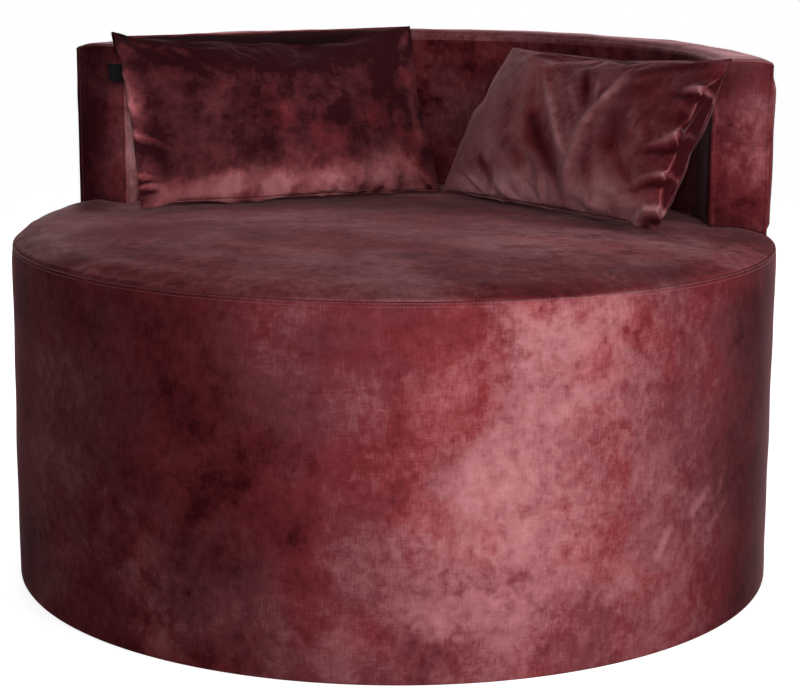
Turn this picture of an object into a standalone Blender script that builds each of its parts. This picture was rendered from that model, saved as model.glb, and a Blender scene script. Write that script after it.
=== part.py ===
"""Round lounge chair: an upholstered drum seat, a low curved back and two loose cushions.

Metres, +Z up. The origin is on the floor at the drum's centre, and the sitter faces -Y.
Angles round the chair are counted from the middle of the back (+Y) towards +X.
"""

import math

import bmesh
import bpy
from mathutils import Matrix, Vector

# Drum

chair_radius = 0.550
seat_seam_height = 0.487
seat_seam_inset = 0.0037
shoulder_drop = 0.017
seat_crown = 0.022
crown_power = 6
crown_ring_shares = (0.45, 0.70, 0.835, 0.92, 0.97, 1.0)
shoulder_shares = (0.35, 0.7, 0.92)

# Layers that several pieces are made of

cloth_thickness = 0.0018
fit_gap = 0.0003
wadding_thickness = 0.012
side_foam_thickness = 0.012
board_thickness = 0.003
ply_thickness = 0.018
cut_overrun = 0.004

# Base frame and what it stands on

hem_height = 0.0035
hem_round = 0.002
bottom_ring_width = 0.092
deck_ring_width = 0.122
base_post_count = 6
base_post_depth = 0.045
base_post_width = 0.035
dust_cover_thickness = 0.001
dust_cover_clearance = 0.011
dust_cover_lap = 0.007
glide_count = 5
glide_radius = 0.012
glide_round = 0.0015
glide_inset = 0.032
glide_nail_radius = 0.002
glide_nail_length = 0.014

# Seat deck and seat filling

strap_width = 0.070
strap_thickness = 0.0018
strap_spacing = 0.170
strap_count = 4
strap_margin = 0.004
deck_cloth_inset = 0.006
deck_cloth_thickness = 0.0012
seat_foam_edge = 0.095

# Back

back_inset = 0.008
back_thickness = 0.086
back_half_angle = math.radians(79.0)
rim_height = 0.743
rim_sink = 0.0125
rim_sink_power = 2.2
rim_crown = 0.015
rim_crown_end_share = 0.4
rim_crown_power = 4
rim_point_shares = (0.0, 0.08, 0.25, 0.5, 0.75, 0.92, 1.0)
back_inner_foam_thickness = 0.020
back_outer_wadding_thickness = 0.006
top_foam_thickness = 0.020
back_post_count = 5
back_post_width = 0.035
back_post_end_share = 0.88
back_rail_ledge = 0.0117
end_panel_shares = (0.0, 0.25, 0.5, 0.75, 1.0)
back_bolt_count = 4
back_bolt_radius = 0.004
back_bolt_head_radius = 0.009
back_bolt_head_height = 0.005
back_bolt_head_share = 0.6
back_bolt_clearance = 0.0005

# Cushions

cushion_width = 0.490
cushion_height = 0.285
cushion_depth = 0.115
cushion_edge = 0.006
cushion_draw_in = 0.012
cushion_draw_power = 4
cushion_crown_power = 1.1
cushion_seam_margin = 0.010
cushion_wall_clearance = 0.003
pad_clearance = 0.003
left_cushion_turn = math.radians(36.0)
left_cushion_lean = math.radians(27.5)
right_cushion_turn = math.radians(-41.0)
right_cushion_lean = math.radians(33.0)
cushions_meet_at = 0.0138
cushions_apart = 0.0005

zip_length = 0.360
zip_slot_width = 0.007
zip_tape_depth = 0.0065
zip_tape_thickness = 0.0013
zip_teeth_width = 0.0024
zip_teeth_height = 0.0017
zip_end_clearance = 0.002
zip_slider_length = 0.012
zip_slider_recess = 0.0008
zip_pull_length = 0.020
zip_pull_width = 0.004
zip_pull_thickness = 0.001
zip_pull_overlap = 0.002

tab_width = 0.013
tab_height = 0.020
tab_thickness = 0.001
tab_height_share = 0.72

# How finely round pieces are divided

round_steps = 60
back_steps = 26
small_steps = 12
cushion_steps_across = 14
cushion_steps_up = 10
skin_steps = 41
settling_rounds = 14
smooth_below = math.radians(35.0)

# Sizes worked out from those above

seam_radius = chair_radius - seat_seam_inset
cover_bore = chair_radius - cloth_thickness
side_foam_radius = cover_bore - fit_gap
board_radius = side_foam_radius - side_foam_thickness - fit_gap
frame_radius = board_radius - board_thickness - fit_gap
round_facet = math.cos(math.pi / round_steps)
dust_cover_radius = chair_radius - glide_inset - glide_radius - dust_cover_clearance
hem_end_radius = dust_cover_radius - dust_cover_lap

back_outer_radius = chair_radius - back_inset
back_inner_radius = back_outer_radius - back_thickness
back_facet = math.cos(back_half_angle / back_steps)
inner_foam_radius = back_inner_radius + cloth_thickness + fit_gap
inner_board_radius = inner_foam_radius + back_inner_foam_thickness + fit_gap
back_frame_inner = inner_board_radius + board_thickness + fit_gap
outer_wadding_radius = back_outer_radius - cloth_thickness - fit_gap
outer_board_radius = outer_wadding_radius - back_outer_wadding_thickness - fit_gap
back_frame_outer = outer_board_radius - board_thickness - fit_gap
back_fill_half_angle = back_half_angle - (cloth_thickness + 2 * fit_gap) / back_inner_radius
back_bolt_circle = (back_frame_inner + back_frame_outer) / 2
back_rail_inner_radius = back_frame_inner - back_rail_ledge
deck_reach = back_rail_inner_radius - deck_cloth_inset

seat_layers = cloth_thickness + fit_gap + wadding_thickness + fit_gap
seat_foam_bottom = seat_seam_height - seat_layers - seat_foam_edge
deck_cloth_bottom = seat_foam_bottom - fit_gap - deck_cloth_thickness
weave_thickness = 2 * strap_thickness + fit_gap
weave_middle = deck_cloth_bottom - fit_gap - weave_thickness / 2
deck_top = weave_middle - weave_thickness / 2 - fit_gap
deck_bottom = deck_top - ply_thickness
bottom_ring_low = hem_height + cloth_thickness + fit_gap
bottom_ring_top = bottom_ring_low + ply_thickness

top_rib_top = rim_height - rim_sink - top_foam_thickness
top_rib_low = top_rib_top - ply_thickness

cushion_lip = cushion_draw_in
zip_tape_low = cushion_lip + zip_tape_depth
zip_travel = zip_length - 2 * zip_end_clearance - zip_slider_length - zip_pull_length


def seat_surface(radius):
    """Height of the seat's top: level in the middle, falling to the seam at the rim."""
    return seat_seam_height + seat_crown * (1 - (radius / seam_radius) ** crown_power)


def rim_seam(angle):
    """Height of the seam along the back's top, which sinks towards the two ends."""
    return rim_height - rim_sink * abs(angle / back_half_angle) ** rim_sink_power


def rim_bulge(angle, share):
    """How far the top band stands over its seams, at a share of its width."""
    along = 1 - (1 - rim_crown_end_share) * (angle / back_half_angle) ** 2
    across = 1 - abs(2 * share - 1) ** rim_crown_power
    return rim_crown * along * across


def spread(count, first, last):
    """Values from first to last in equal steps."""
    step = (last - first) / (count - 1)
    return [first + step * number for number in range(count)]


def turns(count, first):
    return [first + 2 * math.pi * number / count for number in range(count)]


def at(radius, angle, height):
    return Vector((radius * math.sin(angle), radius * math.cos(angle), height))


# Materials


def make_material(name, colour, roughness, metallic=0.0):
    material = bpy.data.materials.new(name)
    material.use_nodes = True
    shader = material.node_tree.nodes["Principled BSDF"]
    shader.inputs["Base Color"].default_value = (*colour, 1.0)
    shader.inputs["Roughness"].default_value = roughness
    shader.inputs["Metallic"].default_value = metallic
    return material


def make_materials():
    return {
        "velvet": make_material("wine_velvet", (0.145, 0.028, 0.036), 0.75),
        "foam": make_material("foam", (0.72, 0.66, 0.48), 0.95),
        "wadding": make_material("wadding", (0.82, 0.82, 0.80), 0.95),
        "plywood": make_material("plywood", (0.52, 0.36, 0.20), 0.70),
        "timber": make_material("timber", (0.58, 0.40, 0.22), 0.70),
        "hardboard": make_material("hardboard", (0.30, 0.19, 0.10), 0.75),
        "webbing": make_material("webbing", (0.05, 0.05, 0.05), 0.85),
        "lining": make_material("black_lining", (0.02, 0.02, 0.02), 0.90),
        "steel": make_material("zinc_steel", (0.60, 0.60, 0.58), 0.35, 1.0),
        "plastic": make_material("black_plastic", (0.03, 0.03, 0.03), 0.45),
        "zip": make_material("dark_zip_metal", (0.12, 0.10, 0.09), 0.35, 1.0),
        "tab": make_material("black_tab", (0.01, 0.01, 0.01), 0.80),
    }


# Mesh helpers


def new_object(name, bm, material=None):
    bmesh.ops.recalc_face_normals(bm, faces=bm.faces)
    mesh = bpy.data.meshes.new(name)
    bm.to_mesh(mesh)
    bm.free()
    mesh.shade_smooth()
    mesh.set_sharp_from_angle(angle=smooth_below)
    if material:
        mesh.materials.append(material)
    obj = bpy.data.objects.new(name, mesh)
    bpy.context.scene.collection.objects.link(obj)
    return obj


def join_rings(bm, first, second):
    """Faces between two closed rings of vertices, or between a ring and a single point."""
    count = max(len(first), len(second))
    for number in range(count):
        following = (number + 1) % count
        corners = []
        if len(first) > 1:
            corners += [first[number], first[following]]
        else:
            corners += [first[0]]
        if len(second) > 1:
            corners += [second[following], second[number]]
        else:
            corners += [second[0]]
        bm.faces.new(corners)


def turned(name, profile, material=None, steps=round_steps, centre=(0.0, 0.0)):
    """A profile of (radius, height) points turned round the vertical through centre."""
    bm = bmesh.new()
    offset = Vector((centre[0], centre[1], 0.0))
    rings = []
    for radius, height in profile:
        angles = turns(steps, 0.0) if radius else [0.0]
        rings.append([bm.verts.new(offset + at(radius, angle, height)) for angle in angles])
    for first, second in zip(rings, rings[1:]):
        join_rings(bm, first, second)
    if profile[0][0] and profile[-1][0]:
        join_rings(bm, rings[-1], rings[0])
    return new_object(name, bm, material)


def lofted(name, sections, material=None):
    """A closed solid through a row of outlines that have the same number of points."""
    bm = bmesh.new()
    rings = [[bm.verts.new(point) for point in section] for section in sections]
    for first, second in zip(rings, rings[1:]):
        join_rings(bm, first, second)
    bm.faces.new(rings[0])
    bm.faces.new(rings[-1])
    return new_object(name, bm, material)


def arc_solid(name, outline, half_angle, material=None):
    """outline(angle) gives (radius, height) points. The solid follows the back's curve."""
    sections = []
    for angle in spread(back_steps + 1, -half_angle, half_angle):
        sections.append([at(radius, angle, height) for radius, height in outline(angle)])
    return lofted(name, sections, material)


def arc_plate(name, inner, outer, low, high, half_angle, material=None):
    def outline(angle):
        return [(inner, low), (outer, low), (outer, high), (inner, high)]

    return arc_solid(name, outline, half_angle, material)


def block(name, size, centre, material=None, turn=0.0):
    """A box of the given size whose depth runs away from the chair's axis."""
    bm = bmesh.new()
    bmesh.ops.create_cube(bm, size=1.0)
    bmesh.ops.scale(bm, vec=size, verts=bm.verts)
    place = Matrix.Translation(centre) @ Matrix.Rotation(-turn, 4, "Z")
    bmesh.ops.transform(bm, matrix=place, verts=bm.verts)
    return new_object(name, bm, material)


def rods(name, places, radius, low, high):
    """Upright round cutters in one mesh."""
    bm = bmesh.new()
    for place in places:
        middle = Matrix.Translation((place.x, place.y, (low + high) / 2))
        bmesh.ops.create_cone(
            bm,
            cap_ends=True,
            segments=small_steps,
            radius1=radius,
            radius2=radius,
            depth=high - low,
            matrix=middle,
        )
    return new_object(name, bm)


def cut_from(target, cutter, operation="DIFFERENCE"):
    cutter.hide_render = True
    cutter.display_type = "WIRE"
    modifier = target.modifiers.new(cutter.name, "BOOLEAN")
    modifier.operation = operation
    modifier.solver = "EXACT"
    modifier.object = cutter


# Base


def make_bottom_ring(materials, nail_holes):
    inner = frame_radius - bottom_ring_width
    profile = [
        (inner, bottom_ring_low),
        (inner, bottom_ring_top),
        (frame_radius, bottom_ring_top),
        (frame_radius, bottom_ring_low),
    ]
    ring = turned("base_bottom_ring", profile, materials["plywood"])
    cut_from(ring, nail_holes)


def make_deck_ring(materials, bolt_holes):
    inner = frame_radius - deck_ring_width
    profile = [
        (inner, deck_bottom),
        (inner, deck_top),
        (frame_radius, deck_top),
        (frame_radius, deck_bottom),
    ]
    ring = turned("base_deck_ring", profile, materials["plywood"])
    cut_from(ring, bolt_holes)


def make_base_posts(materials):
    low = bottom_ring_top + fit_gap
    high = deck_bottom - fit_gap
    corner = frame_radius * round_facet
    outer_face = math.sqrt(corner**2 - (base_post_width / 2) ** 2)
    middle = outer_face - base_post_depth / 2
    size = (base_post_width, base_post_depth, high - low)
    first = math.pi / base_post_count
    for number, angle in enumerate(turns(base_post_count, first), start=1):
        centre = at(middle, angle, (low + high) / 2)
        block(f"base_post_{number}", size, centre, materials["timber"], angle)


def make_side_board(materials):
    profile = [
        (board_radius, bottom_ring_low),
        (board_radius - board_thickness, bottom_ring_low),
        (board_radius - board_thickness, deck_top),
        (board_radius, deck_top),
    ]
    turned("base_side_board", profile, materials["hardboard"])


def make_side_foam(materials):
    inner = side_foam_radius - side_foam_thickness
    high = seat_seam_height - seat_layers
    profile = [
        (side_foam_radius, bottom_ring_low),
        (inner, bottom_ring_low),
        (inner, high),
        (side_foam_radius, high),
    ]
    turned("base_side_foam", profile, materials["foam"])


def shoulder(radius_cut):
    """The rounded upper edge of the side band, from the drum's side up to the seam."""
    low = seat_seam_height - shoulder_drop
    rise = shoulder_drop - cloth_thickness - fit_gap
    points = [(chair_radius - radius_cut, low)]
    for share in shoulder_shares:
        inset = seat_seam_inset * (1 - math.sqrt(1 - share**2))
        points.append((chair_radius - radius_cut - inset, low + rise * share))
    points.append((seam_radius - radius_cut, low + rise))
    return points


def make_base_cover(materials, nail_holes):
    """Velvet side band, turned in under the bottom ring at its hem."""
    outside = [
        (hem_end_radius, hem_height),
        (chair_radius - hem_round, hem_height),
        (chair_radius, hem_height + hem_round),
    ]
    inside = [
        (cover_bore, hem_height + cloth_thickness),
        (hem_end_radius, hem_height + cloth_thickness),
    ]
    profile = outside + shoulder(0.0) + shoulder(cloth_thickness)[::-1] + inside
    cover = turned("base_cover", profile, materials["velvet"])
    cut_from(cover, nail_holes)


def make_dust_cover(materials):
    high = hem_height - fit_gap
    low = high - dust_cover_thickness
    profile = [(0.0, low), (dust_cover_radius, low), (dust_cover_radius, high), (0.0, high)]
    turned("dust_cover", profile, materials["lining"])


def glide_places():
    first = math.pi
    return [at(chair_radius - glide_inset, angle, 0.0) for angle in turns(glide_count, first)]


def make_glides(materials):
    seat = hem_height - fit_gap
    tip = hem_height + glide_nail_length
    profile = [
        (0.0, 0.0),
        (glide_radius - glide_round, 0.0),
        (glide_radius, glide_round),
        (glide_radius, seat),
        (glide_nail_radius, seat),
        (glide_nail_radius, tip),
        (0.0, tip),
    ]
    for number, place in enumerate(glide_places(), start=1):
        name = f"glide_{number}"
        turned(name, profile, materials["plastic"], small_steps, (place.x, place.y))


# Seat


def strap_offsets():
    last = strap_spacing * (strap_count - 1) / 2
    return spread(strap_count, -last, last)


def strap_stations(offset, level):
    """(distance, level) points along a strap, which goes over and under those it crosses."""
    reach = math.sqrt(deck_reach**2 - (abs(offset) + strap_width / 2) ** 2)
    half = strap_width / 2 + strap_margin
    stations = [(-reach, -1)]
    for crossing in strap_offsets():
        stations += [(crossing - half, level), (crossing + half, level)]
        level = -level
    return stations + [(reach, -1)]


def make_strap(name, offset, first_level, along_y, material):
    lift = (strap_thickness + fit_gap) / 2
    sections = []
    for distance, level in strap_stations(offset, first_level):
        corners = []
        for across, up in ((-1, -1), (1, -1), (1, 1), (-1, 1)):
            sideways = offset + across * strap_width / 2
            height = weave_middle + level * lift + up * strap_thickness / 2
            if along_y:
                corners.append(Vector((sideways, distance, height)))
            else:
                corners.append(Vector((distance, sideways, height)))
        sections.append(corners)
    lofted(name, sections, material)


def make_straps(materials):
    level = 1
    for number, offset in enumerate(strap_offsets(), start=1):
        make_strap(f"webbing_across_{number}", offset, level, False, materials["webbing"])
        make_strap(f"webbing_along_{number}", offset, -level, True, materials["webbing"])
        level = -level


def make_deck_cloth(materials):
    high = deck_cloth_bottom + deck_cloth_thickness
    profile = [
        (0.0, deck_cloth_bottom),
        (deck_reach, deck_cloth_bottom),
        (deck_reach, high),
        (0.0, high),
    ]
    turned("deck_cloth", profile, materials["lining"])


def crowned_line(radius, drop):
    """Points from the middle out to this radius, at this depth below the seat's surface."""
    radii = [0.0] + [share * radius for share in crown_ring_shares]
    return [(r, seat_surface(r) - drop) for r in radii]


def rail_outer_radius():
    return frame_radius * round_facet - fit_gap


def rail_top():
    return seat_surface(rail_outer_radius()) - seat_layers - fit_gap


def make_back_rail(materials, bolt_holes):
    rail = arc_plate(
        "back_rail",
        back_rail_inner_radius,
        rail_outer_radius(),
        deck_top + fit_gap,
        rail_top(),
        back_fill_half_angle,
        materials["timber"],
    )
    cut_from(rail, bolt_holes)


def make_seat_foam(materials):
    """The seat's foam, cut away round the rail that the back is bolted to."""
    radius = board_radius
    under = [(radius, seat_foam_bottom), (0.0, seat_foam_bottom)]
    foam = turned("seat_foam", crowned_line(radius, seat_layers) + under, materials["foam"])
    room = arc_plate(
        "rail_room",
        back_rail_inner_radius - fit_gap,
        chair_radius,
        deck_bottom,
        seat_surface(0.0),
        back_fill_half_angle + fit_gap / back_rail_inner_radius,
    )
    cut_from(foam, room)


def make_seat_wadding(materials, bolt_holes):
    drop = cloth_thickness + fit_gap
    radius = seam_radius - cloth_thickness - fit_gap
    under = crowned_line(radius, drop + wadding_thickness)[::-1]
    wadding = turned("seat_wadding", crowned_line(radius, drop) + under, materials["wadding"])
    cut_from(wadding, bolt_holes)


def make_seat_cover(materials, bolt_holes):
    under = crowned_line(seam_radius, cloth_thickness)[::-1]
    cover = turned("seat_cover", crowned_line(seam_radius, 0.0) + under, materials["velvet"])
    cut_from(cover, bolt_holes)


# Back


def make_back_ribs(materials, bolt_holes):
    low = seat_surface(back_frame_inner) + fit_gap
    bottom_rib = arc_plate(
        "back_bottom_rib",
        back_frame_inner,
        back_frame_outer,
        low,
        low + ply_thickness,
        back_fill_half_angle,
        materials["plywood"],
    )
    cut_from(bottom_rib, bolt_holes)
    arc_plate(
        "back_top_rib",
        back_frame_inner,
        back_frame_outer,
        top_rib_low,
        top_rib_top,
        back_fill_half_angle,
        materials["plywood"],
    )


def make_back_posts(materials):
    low = seat_surface(back_frame_inner) + ply_thickness + 2 * fit_gap
    high = top_rib_low - fit_gap
    corner = back_frame_outer * back_facet
    outer_face = math.sqrt(corner**2 - (back_post_width / 2) ** 2)
    depth = outer_face - back_frame_inner
    size = (back_post_width, depth, high - low)
    last = back_fill_half_angle * back_post_end_share
    for number, angle in enumerate(spread(back_post_count, -last, last), start=1):
        centre = at(outer_face - depth / 2, angle, (low + high) / 2)
        block(f"back_post_{number}", size, centre, materials["timber"], angle)


def make_back_boards(materials):
    for name, inner in (
        ("back_inner_board", inner_board_radius),
        ("back_outer_board", outer_board_radius - board_thickness),
    ):
        arc_plate(
            name,
            inner,
            inner + board_thickness,
            seat_surface(inner) + fit_gap,
            top_rib_top,
            back_fill_half_angle,
            materials["hardboard"],
        )


def make_back_fillings(materials):
    arc_plate(
        "back_inner_foam",
        inner_foam_radius,
        inner_foam_radius + back_inner_foam_thickness,
        seat_surface(inner_foam_radius) + fit_gap,
        top_rib_top,
        back_fill_half_angle,
        materials["foam"],
    )
    wadding_bore = outer_wadding_radius - back_outer_wadding_thickness
    arc_plate(
        "back_outer_wadding",
        wadding_bore,
        outer_wadding_radius,
        seat_surface(wadding_bore) + fit_gap,
        top_rib_top,
        back_fill_half_angle,
        materials["wadding"],
    )

    def outline(angle):
        low = top_rib_top + fit_gap
        width = outer_wadding_radius - inner_foam_radius
        points = [(outer_wadding_radius, low), (inner_foam_radius, low)]
        for share in rim_point_shares:
            height = rim_seam(angle) + rim_bulge(angle, share) - fit_gap
            points.append((inner_foam_radius + width * share, height))
        return points

    arc_solid("back_top_foam", outline, back_fill_half_angle, materials["foam"])


def make_back_panels(materials):
    """The velvet on the inner and outer faces, from the seat up to the rim seams."""
    for name, inner in (
        ("back_inside_cover", back_inner_radius),
        ("back_outside_cover", back_outer_radius - cloth_thickness),
    ):
        low = seat_surface(inner) + fit_gap
        outer = inner + cloth_thickness

        def outline(angle, inner=inner, outer=outer, low=low):
            high = rim_seam(angle) - fit_gap
            return [(inner, low), (outer, low), (outer, high), (inner, high)]

        arc_solid(name, outline, back_fill_half_angle, materials["velvet"])


def make_back_top_cover(materials):
    def outline(angle):
        under = []
        for share in rim_point_shares:
            height = rim_seam(angle) + rim_bulge(angle, share)
            under.append((back_inner_radius + back_thickness * share, height))
        return under + [(radius, height + cloth_thickness) for radius, height in under[::-1]]

    arc_solid("back_top_cover", outline, back_half_angle, materials["velvet"])


def make_back_end_covers(materials):
    high = rim_seam(back_half_angle) - fit_gap
    for name, side in (("back_end_cover_left", -1), ("back_end_cover_right", 1)):
        angle = side * back_half_angle
        inwards = Vector((-side * math.cos(angle), side * math.sin(angle), 0.0))
        sections = []
        for share in end_panel_shares:
            radius = back_inner_radius + back_thickness * share
            low = seat_surface(radius) + fit_gap
            face = [at(radius, angle, low), at(radius, angle, high)]
            rear = [point + inwards * cloth_thickness for point in face[::-1]]
            sections.append(face + rear)
        lofted(name, sections, materials["velvet"])


def back_bolt_places():
    last = back_fill_half_angle * back_post_end_share * (back_bolt_count - 1) / back_bolt_count
    angles = spread(back_bolt_count, -last, last)
    return [at(back_bolt_circle, angle, 0.0) for angle in angles]


def make_back_bolts(materials):
    under_deck = deck_bottom - fit_gap
    head_low = under_deck - back_bolt_head_height
    tip = seat_surface(back_frame_inner) + fit_gap + ply_thickness
    profile = [
        (0.0, head_low),
        (back_bolt_head_radius * back_bolt_head_share, head_low),
        (back_bolt_head_radius, under_deck - back_bolt_head_height / 2),
        (back_bolt_head_radius, under_deck),
        (back_bolt_radius, under_deck),
        (back_bolt_radius, tip),
        (0.0, tip),
    ]
    for number, place in enumerate(back_bolt_places(), start=1):
        name = f"back_bolt_{number}"
        turned(name, profile, materials["steel"], small_steps, (place.x, place.y))


# Cushions


def cushion_solid(name, width, height, depth, edge, lift=0.0, material=None):
    """A crowned pad standing on its lower edge: drawn-in sides, thin corners, a narrow border."""
    across = cushion_steps_across
    up = cushion_steps_up
    bm = bmesh.new()
    faces = []
    for side in (-1, 1):
        grid = []
        for row in range(up + 1):
            v = 2 * row / up - 1
            line = []
            for column in range(across + 1):
                u = 2 * column / across - 1
                point = cushion_point(u, v, side, width, height, depth, edge, lift)
                line.append(bm.verts.new(point))
            grid.append(line)
        faces.append(grid)
        for row in range(up):
            for column in range(across):
                lower = grid[row][column : column + 2]
                upper = grid[row + 1][column : column + 2]
                bm.faces.new(lower + upper[::-1])
    join_rings(bm, border_of(faces[0]), border_of(faces[1]))
    # Cover, cavity and pad split their four-sided faces alike, so the gap between them stays even.
    bmesh.ops.triangulate(bm, faces=bm.faces, quad_method="FIXED")
    return new_object(name, bm, material)


def cushion_point(u, v, side, width, height, depth, edge, lift):
    """u and v run from -1 to 1, and points crowd towards the edges, where the form turns."""
    x_share = math.sin(u * math.pi / 2)
    z_share = math.sin(v * math.pi / 2)
    crown = (math.cos(u * math.pi / 2) * math.cos(v * math.pi / 2)) ** 2
    crown = max(crown, 0.0) ** (cushion_crown_power / 2)
    x = x_share * (width / 2 - cushion_draw_in * (1 - z_share**cushion_draw_power))
    z = z_share * (height / 2 - cushion_draw_in * (1 - x_share**cushion_draw_power))
    y = side * (edge / 2 + (depth - edge) / 2 * crown)
    return Vector((x, y, z + height / 2 + lift))


def border_of(grid):
    bottom = grid[0]
    top = grid[-1][::-1]
    right = [line[-1] for line in grid[1:-1]]
    left = [line[0] for line in grid[1:-1]][::-1]
    return bottom + right + top + left


def cushion_place(points, turn, lean, slide, distance):
    """The cushion's frame with its foot this far from the chair's axis, down on the seat."""
    along = Vector((math.cos(turn), math.sin(turn), 0.0))
    inwards = Vector((math.sin(turn), -math.cos(turn), 0.0))
    foot = along * slide - inwards * distance
    stand = Matrix.Rotation(turn, 4, "Z") @ Matrix.Rotation(-lean, 4, "X")
    place = Matrix.Translation(foot) @ stand
    spots = [place @ point for point in points]
    room = min(spot.z - seat_surface(spot.xy.length) for spot in spots)
    foot.z = fit_gap - room
    return Matrix.Translation(foot) @ stand


def meets_back(spot):
    angle = math.atan2(spot.x, spot.y)
    reach = back_inner_radius * back_facet - cushion_wall_clearance
    beside = abs(angle) < back_half_angle + cushion_wall_clearance / back_inner_radius
    top = rim_seam(angle) + rim_crown + cloth_thickness + cushion_wall_clearance
    return beside and spot.xy.length > reach and spot.z < top


def lean_on_back(points, turn, lean, slide):
    """The frame that sets the cushion as far back as the wall of the back lets it go."""
    near = 0.0
    far = back_inner_radius
    for _ in range(settling_rounds):
        middle = (near + far) / 2
        place = cushion_place(points, turn, lean, slide, middle)
        if any(meets_back(place @ point) for point in points):
            far = middle
        else:
            near = middle
    return cushion_place(points, turn, lean, slide, near)


def settle(points, turn, lean, towards):
    """Leans the cushion on the back, slid until it reaches the plane where the two meet.

    towards is 1 for a cushion that lies on the -X side of that plane, and -1 for the other.
    """
    end = towards * cushions_meet_at - cushions_apart / 2
    low = -cushion_width / 2
    high = cushion_width / 2
    for _ in range(settling_rounds):
        slide = (low + high) / 2
        place = lean_on_back(points, turn, lean, towards * slide)
        if max(towards * (place @ point).x for point in points) > end:
            high = slide
        else:
            low = slide
    return lean_on_back(points, turn, lean, towards * low)


def cushion_skin():
    """Points spread closely over a cushion's cover."""
    points = []
    for row in spread(skin_steps, -1.0, 1.0):
        for column in spread(skin_steps, -1.0, 1.0):
            for side in (-1, 1):
                shape = (cushion_width, cushion_height, cushion_depth, cushion_edge)
                points.append(cushion_point(column, row, side, *shape, 0.0))
    return points


def box_between(name, low, high, material=None):
    low = Vector(low)
    high = Vector(high)
    return block(name, high - low, (low + high) / 2, material)


def zip_section(name, points, start, length, material):
    """An outline in the zip's cross-section, drawn out along the seam."""
    sections = [[Vector((x, y, z)) for y, z in points] for x in (start, start + length)]
    return lofted(name, sections, material)


def make_zip_tape(name, material):
    half = zip_slot_width / 2 - fit_gap
    teeth = zip_teeth_width / 2
    low = zip_tape_low - zip_teeth_height
    high = zip_tape_low + zip_tape_thickness
    points = [
        (-teeth, low),
        (teeth, low),
        (teeth, zip_tape_low),
        (half, zip_tape_low),
        (half, high),
        (-half, high),
        (-half, zip_tape_low),
        (-teeth, zip_tape_low),
    ]
    length = zip_length - 2 * fit_gap
    return zip_section(name, points, -length / 2, length, material)


def make_zip_slider(name, material):
    """The slider straddles the teeth, and its pull lies flat along the seam."""
    half = zip_slot_width / 2 - 2 * fit_gap
    channel = zip_teeth_width / 2 + fit_gap
    low = cushion_lip + zip_slider_recess
    floor = zip_tape_low - zip_teeth_height - fit_gap
    high = zip_tape_low - fit_gap
    points = [
        (-half, low),
        (half, low),
        (half, high),
        (channel, high),
        (channel, floor),
        (-channel, floor),
        (-channel, high),
        (-half, high),
    ]
    start = -zip_length / 2 + zip_end_clearance
    slider = zip_section(name, points, start, zip_slider_length, material)
    pull_start = start + zip_slider_length - zip_pull_overlap
    pull_end = start + zip_slider_length + zip_pull_length
    pull_low = low + (floor - low - zip_pull_thickness) / 2
    pull = box_between(
        name + "_pull",
        (pull_start, -zip_pull_width / 2, pull_low),
        (pull_end, zip_pull_width / 2, pull_low + zip_pull_thickness),
    )
    cut_from(slider, pull, "UNION")
    return [slider, pull]


def make_tab(name, material):
    """A small black tab sewn into the side seam, with nothing printed on it."""
    low = cushion_height * tab_height_share
    top_share = 2 * (low + tab_height) / cushion_height - 1
    edge = cushion_width / 2 - cushion_draw_in * (1 - top_share**cushion_draw_power)
    near = -edge - fit_gap
    return box_between(
        name,
        (near - tab_width, -tab_thickness / 2, low),
        (near, tab_thickness / 2, low + tab_height),
        material,
    )


def make_cushion(side, turn, lean, towards, materials):
    margin = cushion_seam_margin
    wall = cloth_thickness
    pad_wall = wall + fit_gap
    cover = cushion_solid(
        f"{side}_cushion_cover",
        cushion_width,
        cushion_height,
        cushion_depth,
        cushion_edge,
        material=materials["velvet"],
    )
    room = cushion_solid(
        f"{side}_pad_room",
        cushion_width - 2 * margin,
        cushion_height - 2 * margin,
        cushion_depth - 2 * wall,
        cushion_edge - 2 * wall,
        lift=margin,
    )
    slot = box_between(
        f"{side}_zip_slot",
        (-zip_length / 2, -zip_slot_width / 2, -cut_overrun),
        (zip_length / 2, zip_slot_width / 2, cushion_lip + margin + cut_overrun),
    )
    cut_from(cover, room)
    cut_from(cover, slot)
    inset = margin + pad_clearance
    pad = cushion_solid(
        f"{side}_cushion_pad",
        cushion_width - 2 * inset,
        cushion_height - 2 * inset,
        cushion_depth - 2 * pad_wall,
        cushion_edge - 2 * pad_wall,
        lift=inset,
        material=materials["wadding"],
    )
    tape = make_zip_tape(f"{side}_zip_tape", materials["lining"])
    pieces = [cover, room, slot, pad, tape]
    pieces += make_zip_slider(f"{side}_zip_slider", materials["zip"])
    if side == "left":
        pieces.append(make_tab("left_cushion_tab", materials["tab"]))
    carrier = bpy.data.objects.new(f"{side}_cushion_place", None)
    bpy.context.scene.collection.objects.link(carrier)
    carrier.matrix_world = settle(cushion_skin(), turn, lean, towards)
    for piece in pieces:
        piece.parent = carrier


def clear_scene():
    for obj in list(bpy.data.objects):
        bpy.data.objects.remove(obj, do_unlink=True)


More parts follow.
